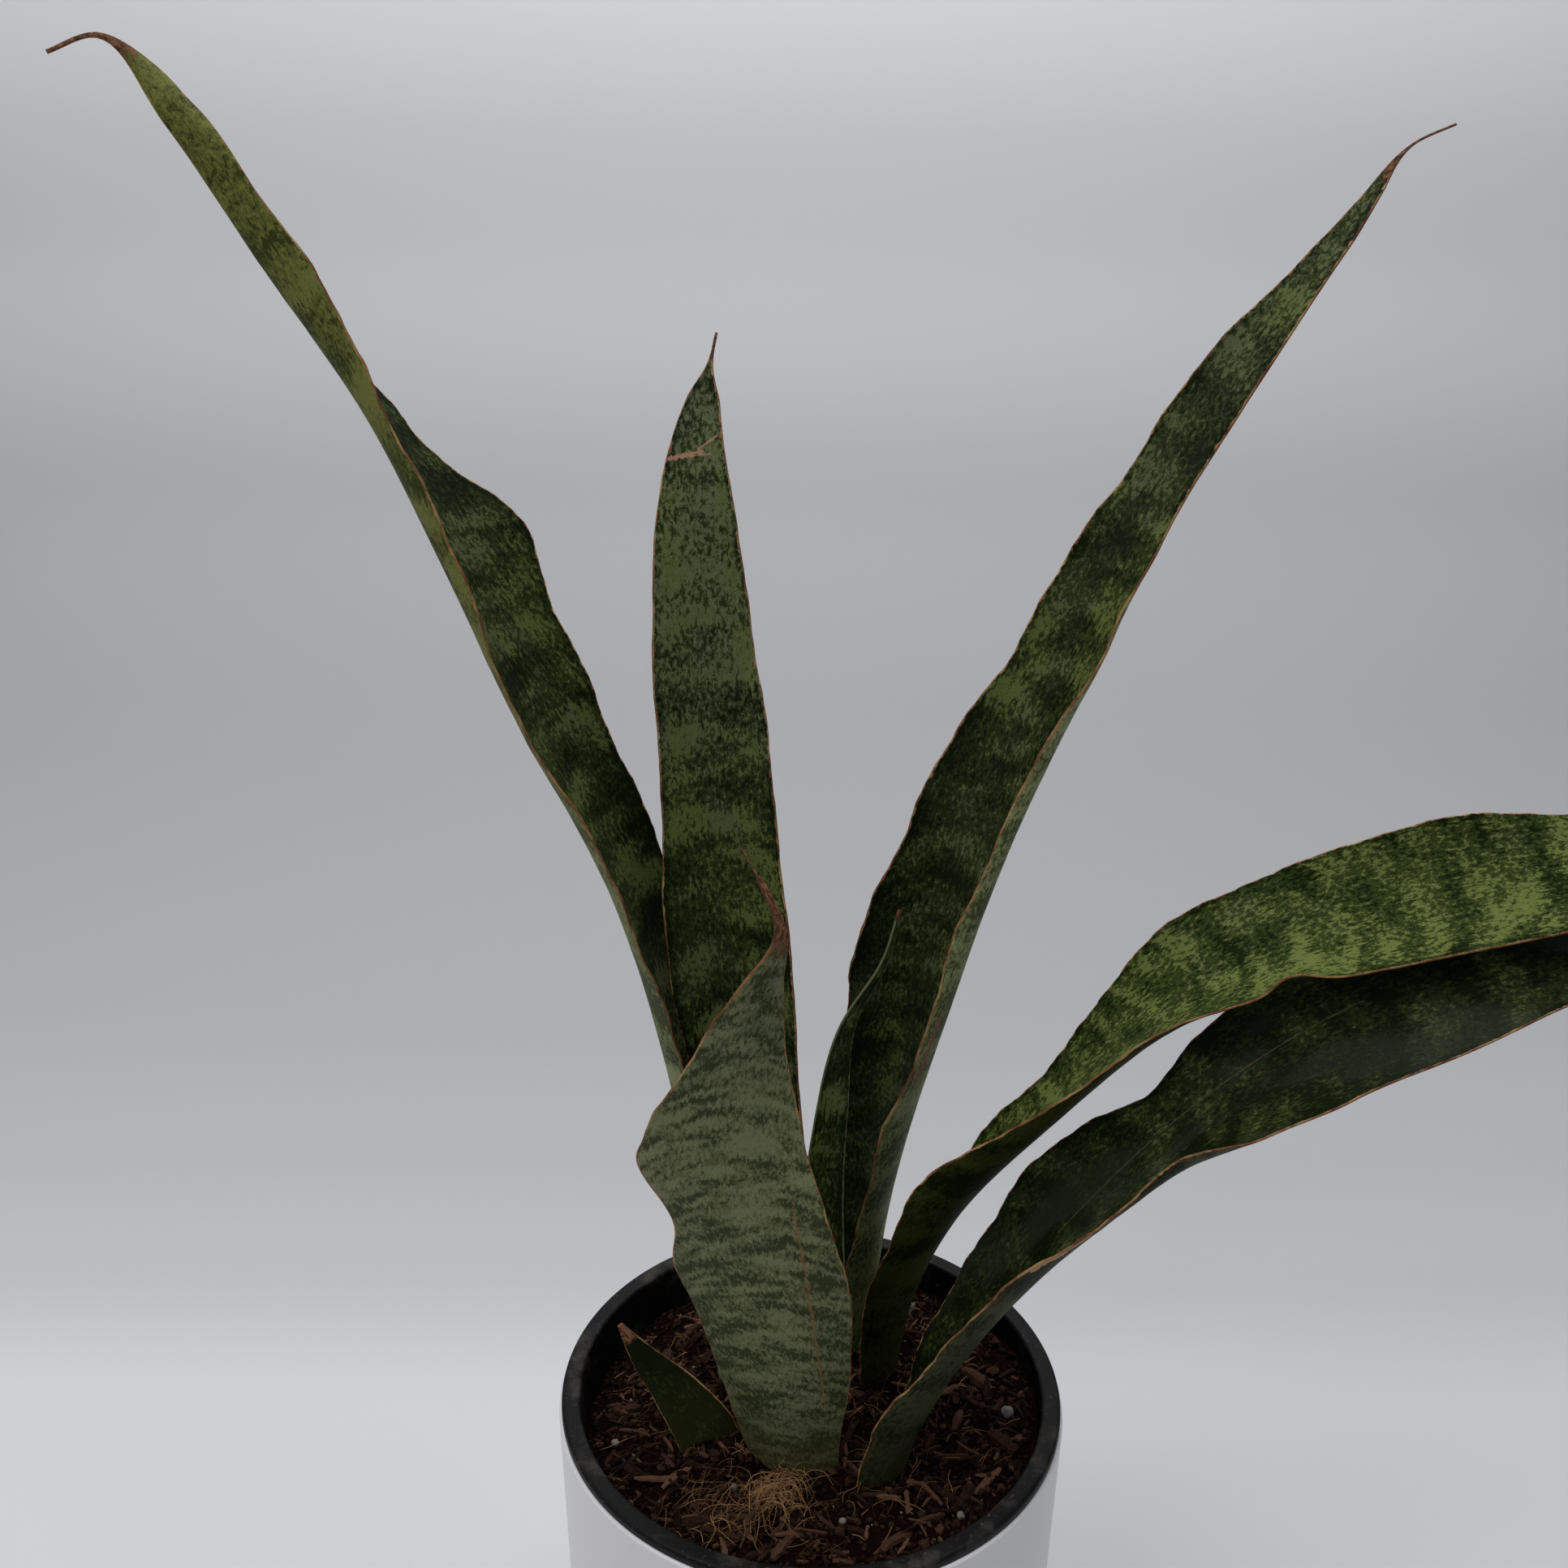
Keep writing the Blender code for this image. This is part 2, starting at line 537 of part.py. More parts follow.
# ---- what lies on the mix -----------------------------------------------------
def bark_solid(share_x, share_y, length, width, thick, compass, grow=0.0):
    """Split sliver of bark: a long block whose ends and faces are worn uneven."""
    x, y = share_x * LIP_INNER, share_y * LIP_INNER
    angle = math.radians(compass)
    forward = np.array([math.cos(angle), math.sin(angle), 0.0])
    sideways = np.array([-math.sin(angle), math.cos(angle), 0.0])
    ends = np.array([x, y, 0]) + np.outer((-0.45 * length, 0.45 * length), forward)
    heights = [soil_height(*end[:2]) for end in ends]
    forward[2] = (heights[1] - heights[0]) / (0.9 * length)
    centre = np.array([x, y, max(soil_height(x, y), sum(heights) / 2) + 0.15 * thick])
    points = []
    spans = np.linspace(-1, 1, 5)
    for i, s in enumerate(spans):
        taper = 1 - 0.45 * s * s * (1 if i % 2 else 0.8)
        wander = 0.12 * width * math.sin(2.1 * i + x)
        along_here = s * (length / 2 + grow)
        half_wide = width / 2 * taper + grow
        half_thick = thick / 2 * (0.75 + 0.25 * math.cos(1.7 * i + y)) + grow
        for a, b in ((-1, -0.6), (-0.5, -1), (0.6, -1), (1, -0.3), (0.7, 1), (-0.8, 0.9)):
            side = sideways * (wander + a * half_wide)
            points.append(centre + forward * along_here + side + np.array([0, 0, b * half_thick]))
    faces = []
    for i in range(len(spans) - 1):
        for k in range(6):
            n = (k + 1) % 6
            faces.append((i * 6 + k, i * 6 + n, (i + 1) * 6 + n, (i + 1) * 6 + k))
    faces.append(tuple(range(6)))
    faces.append(tuple(range((len(spans) - 1) * 6, len(spans) * 6)))
    return points, faces


def grain_solid(share_x, share_y, radius, grow=0.0):
    """Puffed perlite grain: a small, lightly dented ball."""
    x, y = share_x * LIP_INNER, share_y * LIP_INNER
    bm = bmesh.new()
    bmesh.ops.create_icosphere(bm, subdivisions=2, radius=1.0)
    points = []
    for vert in bm.verts:
        dent = 1 - 0.10 * math.sin(5 * vert.co.x + x) * math.cos(4 * vert.co.y + y)
        place = np.array(vert.co) * (radius * dent + grow)
        points.append(place + np.array([x, y, soil_height(x, y) + 0.35 * radius]))
    faces = [[vert.index for vert in face.verts] for face in bm.faces]
    bm.free()
    return points, faces


def make_top_dressing(bark, perlite):
    """Chips and grains, half sunk in pockets of the mix."""
    pockets = []
    for k, chip in enumerate(BARK_CHIPS, start=1):
        add_object(f"bark_chip_{k:02d}", *bark_solid(*chip), bark, smooth=False)
        pockets.append(add_object(f"cut_chip_{k:02d}", *bark_solid(*chip, grow=GAP)))
    for k, grain in enumerate(PERLITE, start=1):
        add_object(f"perlite_{k:02d}", *grain_solid(*grain), perlite)
        pockets.append(add_object(f"cut_grain_{k:02d}", *grain_solid(*grain, grow=GAP)))
    return pockets


def main():
    for obj in list(bpy.data.objects):
        bpy.data.objects.remove(obj)
    make_cover_pot(material("white_glaze", (0.78, 0.78, 0.79), 0.25))
    make_nursery_pot(material("black_plastic", (0.02, 0.022, 0.024), 0.5))
    leaves, sockets = make_leaves(material("leaf_green", (0.055, 0.11, 0.045), 0.42))
    make_rhizome(material("rhizome_skin", (0.42, 0.25, 0.11), 0.7), sockets)
    soil = make_soil(material("potting_mix", (0.035, 0.022, 0.016), 0.95))
    bark = material("bark", (0.12, 0.055, 0.04), 0.85)
    pockets = make_top_dressing(bark, material("perlite", (0.55, 0.54, 0.5), 0.9))
    boolean(soil, stem_tubes("cut", GAP + 0.1) + sockets + pockets, "DIFFERENCE")


main()
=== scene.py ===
"""Looks of the potted snake plant: fine leaves, loose potting mix, smooth pots, light and camera.

Metres and +Z up, in the CAD model's frame. The leaf table and its sweep follow the part's source,
in millimetres, because a leaf's surface has to carry finer ripples and its own coordinates here.
"""
import math
import random

import bmesh
import bpy
import numpy as np
from mathutils import Matrix, Vector, noise


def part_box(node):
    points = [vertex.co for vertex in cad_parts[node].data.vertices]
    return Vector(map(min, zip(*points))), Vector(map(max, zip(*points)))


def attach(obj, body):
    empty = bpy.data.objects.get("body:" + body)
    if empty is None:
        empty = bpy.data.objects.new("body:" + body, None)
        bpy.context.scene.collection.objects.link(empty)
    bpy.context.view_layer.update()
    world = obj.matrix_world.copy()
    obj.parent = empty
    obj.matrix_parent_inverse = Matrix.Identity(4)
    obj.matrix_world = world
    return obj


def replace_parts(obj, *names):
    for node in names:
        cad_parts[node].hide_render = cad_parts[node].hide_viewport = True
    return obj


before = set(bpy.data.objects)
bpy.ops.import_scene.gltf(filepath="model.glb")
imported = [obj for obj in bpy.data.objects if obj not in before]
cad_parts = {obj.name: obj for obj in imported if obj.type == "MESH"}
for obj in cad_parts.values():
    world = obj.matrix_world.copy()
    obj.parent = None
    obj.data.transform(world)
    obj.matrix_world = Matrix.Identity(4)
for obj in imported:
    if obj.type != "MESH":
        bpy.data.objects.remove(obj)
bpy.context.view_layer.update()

MM = 0.001
LIP_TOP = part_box("nursery_pot")[1].z / MM
COVER_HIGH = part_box("cover_pot")[1]
COVER_RADIUS = COVER_HIGH.x / MM
COVER_HEIGHT = COVER_HIGH.z / MM
LIP_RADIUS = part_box("nursery_pot")[1].x / MM
SOIL_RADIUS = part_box("potting_soil")[1].x / MM
SOIL_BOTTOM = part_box("potting_soil")[0].z / MM
LINER_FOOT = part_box("nursery_pot")[0].z / MM
LINER_FOOT_RADIUS = 57.0
LINER_SKIN = 1.2            # mm, wall of the liner
LIP_HIGH = 2.7              # mm, height of the rolled lip
LIP_WIDTH = 5.6
LIP_INNER = LIP_RADIUS - LIP_WIDTH

# ---- leaves ---------------------------------------------------------------------
# A leaf is a channel swept along its keel. "spine" is the keel, (x, y, height above the lip);
# "width" is the blade's width measured round the channel, "roll" turns the channel about the keel
# and "cup" is how far each half curls up from the keel, in degrees. These three are read at evenly
# spaced stations from base to tip. "lean" is the compass direction of the channel's back. "waves"
# push one margin outwards and "folds" curl it in: each is the side, seen facing the upper skin with
# the tip up, the share of the blade's length, the most that it does (mm or degrees) and its spread.
# "dry" is the share of the length from which the tip has withered.
LEAVES = {
    "leaf_tall_left": {
        "lean": 180,
        "spine": [(-26, 19, -30), (-33, 20, 40), (-43, 19, 105), (-56, 16, 160), (-76, 15, 207),
                  (-101, 14, 257), (-127, 14, 310), (-156, 18, 352), (-173, 20, 370), (-182, 15, 366)],
        "width": [22, 26, 29, 33, 38, 43, 43, 35, 21, 5, 1.6],
        "roll": [-5, -8, -10, -14, -20, -22, 0, 40, 75, 100],
        "cup": [60, 60, 60, 60, 58, 52, 46, 34, 22, 10],
        "waves": [("left", 0.76, -4.5, 24), ("left", 0.92, 5, 22), ("left", 0.97, -1, 8),
                  ("right", 0.49, -5, 28), ("right", 0.65, 7.5, 20), ("right", 0.755, 9, 15),
                  ("right", 0.88, 1, 20)],
        "dry": 0.955,
    },
    "leaf_back": {
        "lean": 90,
        "spine": [(-4, 10, -30), (-12, 10, 45), (-22, 12, 115), (-28, 14, 175), (-32, 16, 230),
                  (-34, 20, 270), (-31, 26, 290), (-28, 28, 304)],
        "width": [18, 20, 24, 31, 35, 35, 32, 26, 16, 1.6],
        "roll": [-5, -5, -5, -5, 0, 5, 10, 0, -20],
        "cup": [40, 40, 38, 34, 30, 26, 20, 12, 5],
        "waves": [("left", 0.65, -1.5, 30), ("right", 0.86, 2, 25)],
        "dry": 0.98,
    },
    "leaf_tall_right": {
        "lean": 0,
        "spine": [(17, 31, -30), (23, 31, 40), (35, 28, 105), (52, 29, 170), (75, 32, 228),
                  (101, 37, 280), (130, 42, 327), (149, 45, 351), (158, 45, 355)],
        "width": [22, 32, 40, 41, 38, 35, 31, 24, 12, 1.6],
        "roll": [-10, -8, 4, 18, 26, 34, 42, 48, 60],
        "cup": [60, 61, 61, 59, 52, 45, 38, 28, 10],
        "waves": [("left", 0.26, 10, 75), ("left", 0.44, 7, 60), ("left", 0.9, -2, 25),
                  ("left", 0.95, -2, 15), ("right", 0.72, -7.5, 45)],
        "folds": [("right", 0.50, 60, 60), ("right", 0.65, 30, 10)],
        "dry": 0.95,
    },
    "leaf_arching_upper": {
        "lean": 0,
        "spine": [(24, 15, -30), (28, 11, 15), (41, 2, 58), (67, -4, 97), (100, -4, 134),
                  (150, -2, 159), (200, -3, 172), (242, -4, 175), (276, -6, 162)],
        "width": [20, 28, 34, 37, 40, 42, 40, 34, 20, 1.6],
        "roll": [-30, -30, -25, -14, 0, 18, 36, 36, 25, 15],
        "cup": [58, 60, 61, 56, 46, 38, 30, 24, 18, 10],
        "waves": [("left", 0.36, -3.5, 30), ("right", 0.28, 5.5, 38), ("right", 0.78, 3, 40)],
        "folds": [("right", 0.57, 40, 7)],
        "dry": 0.975,
    },
    "leaf_arching_lower": {
        "lean": 0,
        "spine": [(22, -26, -30), (27, -28, 0), (45, -28, 39), (72, -27, 76), (105, -26, 110),
                  (150, -21, 136), (200, -15, 148), (242, -11, 140), (270, -9, 118)],
        "width": [26, 32, 36, 40, 39, 36, 35, 29, 17, 1.6],
        "roll": [-28, -26, -16, -4, 14, 30, 34, 24, 16, 15],
        "cup": [62, 65, 62, 55, 47, 38, 30, 24, 18, 10],
        "waves": [("left", 0.24, 3, 28), ("left", 0.34, 3.5, 30), ("left", 0.44, -3, 14),
                  ("left", 0.57, 5, 24), ("right", 0.37, -4, 30), ("right", 0.475, 4.5, 10),
                  ("right", 0.54, 2, 10), ("right", 0.80, -6, 35)],
        "folds": [("right", 0.43, 60, 14)],
        "dry": 0.975,
    },
    "leaf_front": {
        "lean": 270,
        "spine": [(-2, -26, -30), (-10, -30, 20), (-17, -34, 62), (-23, -37, 97), (-21, -37, 127),
                  (-15, -36, 150), (-10, -35, 166), (-20, -32, 188)],
        "width": [30, 38, 45, 50, 48, 40, 26, 10, 1.6],
        "roll": [-16, -16, -16, -14, -8, 10, 30, 50, 70],
        "cup": [46, 45, 41, 33, 28, 20, 14, 8, 0],
        "waves": [("left", 0.1, -4, 25), ("left", 0.9, -2.5, 14), ("right", 0.42, 1.5, 12),
                  ("right", 0.50, -5, 13), ("right", 0.585, 3.5, 8), ("right", 0.66, 1.6, 9),
                  ("right", 0.9, -1.5, 14)],
        "dry": 0.875,
    },
    "leaf_inner": {
        "lean": 90,
        "spine": [(4, -4, -30), (3, -3, 35), (3, 0, 85), (8, 3, 120), (19, 4, 142), (22, 6, 154)],
        "width": [12, 13, 14, 13, 11, 6, 1.6],
        "roll": [-15, -10, 0, 20, 40, 60],
        "cup": [50, 50, 49, 42, 34, 20],
        "dry": 0.985,
    },
    "leaf_pup": {
        "lean": 190,
        "spine": [(-26, -14, -26), (-32, -12, -8), (-41, -9, 4), (-50, -6, 13), (-57, -4, 23)],
        "width": [12, 18, 15, 9, 1.6],
        "roll": [-80, -80, -80, -80],
        "cup": [20, 20, 15, 5],
        "dry": 0.9,
    },
}
BLADE_THICK = 2.8
BLADE_THICK_TIP = 1.3
MARGIN_THICK = 0.55
TIP_HALF = 0.3              # mm, half the width of a withered tip

# ---- potting mix, as in the part's source --------------------------------------
SOIL_DROP = 10.0
SOIL_RISE_X = 0.065
SOIL_RISE_Y = -0.045
SOIL_MOUND = 2.0
SOIL_MOUND_RADIUS = 34.0
SOIL_BUMP = 0.9


# ---- curves ---------------------------------------------------------------------
def smooth_curve(knots, values, t):
    """Cubic curve through values at knots, with slopes taken from the neighbouring stations."""
    knots = np.asarray(knots, float)
    values = np.asarray(values, float).reshape(len(knots), -1)
    step = np.diff(knots)
    slope = np.diff(values, axis=0) / step[:, None]
    tangent = np.empty_like(values)
    tangent[0] = slope[0]
    tangent[-1] = slope[-1]
    before, after = step[:-1, None], step[1:, None]
    tangent[1:-1] = (slope[:-1] * after + slope[1:] * before) / (before + after)
    i = np.clip(np.searchsorted(knots, t, side="right") - 1, 0, len(knots) - 2)
    h = step[i][:, None]
    s = ((t - knots[i]) / step[i])[:, None]
    return ((2 * s**3 - 3 * s**2 + 1) * values[i] + (s**3 - 2 * s**2 + s) * h * tangent[i]
            + (3 * s**2 - 2 * s**3) * values[i + 1] + (s**3 - s**2) * h * tangent[i + 1])


def stations(values, t):
    """Values given at evenly spaced stations, read at t from 0 to 1."""
    return smooth_curve(np.linspace(0, 1, len(values)), values, t)[:, 0]


def along_curve(points, count):
    """Points on the smooth curve through the given ones, evenly spaced, and its length."""
    points = np.asarray(points, float)
    chord = np.linalg.norm(np.diff(points, axis=0), axis=1)
    knots = np.concatenate([[0], np.cumsum(chord)])
    fine = smooth_curve(knots, points, np.linspace(0, knots[-1], 400))
    length = np.concatenate([[0], np.cumsum(np.linalg.norm(np.diff(fine, axis=0), axis=1))])
    wanted = np.linspace(0, length[-1], count)
    return np.stack([np.interp(wanted, length, fine[:, k]) for k in range(3)], axis=1), length[-1]


def unit(vectors):
    return vectors / np.linalg.norm(vectors, axis=1)[:, None]


# ---- meshes ---------------------------------------------------------------------
def add_mesh(name, points, faces, mat, smooth=True, attributes=None):
    """Mesh object from points in millimetres, with its float attributes."""
    mesh = bpy.data.meshes.new(name)
    mesh.from_pydata((np.asarray(points) * MM).tolist(), [], faces)
    for key, values in (attributes or {}).items():
        layer = mesh.attributes.new(key, "FLOAT", "POINT")
        layer.data.foreach_set("value", np.asarray(values, np.float32))
    mesh.polygons.foreach_set("use_smooth", [smooth] * len(mesh.polygons))
    mesh.update()
    obj = bpy.data.objects.new(name, mesh)
    bpy.context.scene.collection.objects.link(obj)
    mesh.materials.append(mat)
    return obj


def outward(obj):
    """Turn every face outwards."""
    bm = bmesh.new()
    bm.from_mesh(obj.data)
    bmesh.ops.recalc_face_normals(bm, faces=bm.faces)
    bm.to_mesh(obj.data)
    bm.free()
    return obj


def revolve(name, profile, steps, mat):
    """Closed solid turned about Z from (radius, z) points in millimetres."""
    points, rows = [], []
    for radius, z in profile:
        if radius < 1e-6:
            rows.append([len(points)] * steps)
            points.append((0, 0, z))
            continue
        rows.append(list(range(len(points), len(points) + steps)))
        for k in range(steps):
            a = 2 * math.pi * k / steps
            points.append((radius * math.cos(a), radius * math.sin(a), z))
    faces = []
    for low, high in zip(rows, rows[1:] + rows[:1]):
        for k in range(steps):
            n = (k + 1) % steps
            face = list(dict.fromkeys([low[k], low[n], high[n], high[k]]))
            if len(face) > 2:
                faces.append(face)
    return outward(add_mesh(name, points, faces, mat))


def arc(centre, radius, start, end, steps=8):
    """Points of a rounded profile corner, angles in degrees."""
    angles = np.radians(np.linspace(start, end, steps + 1))
    return [(centre[0] + radius * math.cos(a), centre[1] + radius * math.sin(a)) for a in angles]


# ---- node helpers ---------------------------------------------------------------
class Nodes:
    """Short names for the shader nodes that the materials below are made of."""

    def __init__(self, name):
        self.mat = bpy.data.materials.new(name)
        self.mat.use_nodes = True
        self.tree = self.mat.node_tree
        self.shader = self.tree.nodes["Principled BSDF"]

    def add(self, kind, **values):
        node = self.tree.nodes.new(kind)
        for key, value in values.items():
            setattr(node, key, value)
        return node

    def link(self, source, socket):
        if isinstance(source, bpy.types.NodeSocket):
            self.tree.links.new(source, socket)
        else:
            socket.default_value = source

    def math(self, operation, a, b=0.0, c=0.0, clamp=False):
        node = self.add("ShaderNodeMath", operation=operation, use_clamp=clamp)
        for socket, value in zip(node.inputs, (a, b, c)):
            self.link(value, socket)
        return node.outputs[0]

    def attribute(self, name):
        return self.add("ShaderNodeAttribute", attribute_name=name).outputs["Fac"]

    def vector(self, x, y, z=0.0):
        node = self.add("ShaderNodeCombineXYZ")
        for socket, value in zip(node.inputs, (x, y, z)):
            self.link(value, socket)
        return node.outputs[0]

    def noise(self, vector, scale=1.0, detail=4.0, roughness=0.6, distortion=0.0):
        node = self.add("ShaderNodeTexNoise", noise_dimensions="3D")
        self.link(vector, node.inputs["Vector"])
        node.inputs["Scale"].default_value = scale
        node.inputs["Detail"].default_value = detail
        node.inputs["Roughness"].default_value = roughness
        node.inputs["Distortion"].default_value = distortion
        return node.outputs["Fac"]

    def blade_noise(self, across, along, layer, scales, **settings):
        """Noise over a blade, with one scale across it and another along it, both per mm."""
        x, y = self.math("MULTIPLY", across, scales[0]), self.math("MULTIPLY", along, scales[1])
        return self.noise(self.vector(x, y, layer), **settings)

    def ramp(self, value, low, high):
        """0 below low, 1 above high, smooth between."""
        node = self.add("ShaderNodeMapRange", interpolation_type="SMOOTHSTEP")
        self.link(value, node.inputs["Value"])
        node.inputs["From Min"].default_value = low
        node.inputs["From Max"].default_value = high
        return node.outputs[0]

    def mix(self, factor, a, b, blend="MIX"):
        node = self.add("ShaderNodeMix", data_type="RGBA", blend_type=blend)
        colours = [s for s in node.inputs if s.type == "RGBA"]
        self.link(factor, node.inputs["Factor"])
        for socket, value in zip(colours, (a, b)):
            self.link((*value, 1.0) if isinstance(value, tuple) else value, socket)
        return [s for s in node.outputs if s.type == "RGBA"][0]

    def bump(self, height, distance, strength=1.0, normal=None):
        node = self.add("ShaderNodeBump")
        self.link(height, node.inputs["Height"])
        node.inputs["Distance"].default_value = distance
        node.inputs["Strength"].default_value = strength
        if normal is not None:
            self.link(normal, node.inputs["Normal"])
        return node.outputs[0]

    def position(self):
        return self.add("ShaderNodeTexCoord").outputs["Object"]

    def finish(self, colour, roughness, normal=None, specular=0.5):
        if isinstance(colour, tuple):
            colour = (*colour, 1.0)
        self.link(colour, self.shader.inputs["Base Color"])
        self.link(roughness, self.shader.inputs["Roughness"])
        if normal is not None:
            self.link(normal, self.shader.inputs["Normal"])
        self.shader.inputs["Specular IOR Level"].default_value = specular
        return self.mat


# ---- leaves ---------------------------------------------------------------------
LEAF_DARK = (0.0045, 0.0095, 0.0012)
LEAF_MID = (0.024, 0.036, 0.0085)
LEAF_LIGHT = (0.100, 0.115, 0.048)
LEAF_LIME = (0.100, 0.121, 0.032)
# Painted glints: a grey-green that stands for speckled reflections on the upper side.
LEAF_PAINTED_GLINT = (0.026, 0.032, 0.021)
# Painted sheen: a lighter grey that stands for light glancing off the blade near its tip.
LEAF_PAINTED_SHEEN = (0.150, 0.168, 0.096)
UNDER_PALE = (0.158, 0.170, 0.092)
UNDER_MID = (0.098, 0.110, 0.054)
UNDER_DARK = (0.036, 0.045, 0.019)
RIM_TAN = (0.40, 0.23, 0.10)
RIM_RED = (0.17, 0.055, 0.028)
DRY_BROWN = (0.20, 0.095, 0.050)
UNDER_OLIVE = (0.68, 0.67, 0.34)    # multiplies the underside's colour
GRAIN_DARK = (0.004, 0.007, 0.001)
BASE_YELLOW = (0.060, 0.055, 0.012)
PATTERN_SHIFT = 531.0               # mm along the pattern from one leaf to the next
UNDER_SHIFT = 40.0                  # how far the underside's pattern lies from the upper side's
NEVER = (900.0, 901.0)              # mm, beyond the tip of every leaf


def scaled(colour, factor):
    return tuple(channel * factor for channel in colour)


def tinted(colour, tint):
    return tuple(channel * share for channel, share in zip(colour, tint))


def line_distance(n, across, along, start, end):
    """Distance in mm from a line drawn on the blade, between two (across, along) points."""
    span = (end[0] - start[0], end[1] - start[1])
    length2 = span[0]**2 + span[1]**2
    dx = n.math("SUBTRACT", across, start[0])
    dy = n.math("SUBTRACT", along, start[1])
    share = n.math("DIVIDE", n.math("ADD", n.math("MULTIPLY", dx, span[0]),
                                    n.math("MULTIPLY", dy, span[1])), length2, clamp=True)
    ex = n.math("SUBTRACT", dx, n.math("MULTIPLY", share, span[0]))
    ey = n.math("SUBTRACT", dy, n.math("MULTIPLY", share, span[1]))
    return n.math("SQRT", n.math("ADD", n.math("MULTIPLY", ex, ex), n.math("MULTIPLY", ey, ey)))


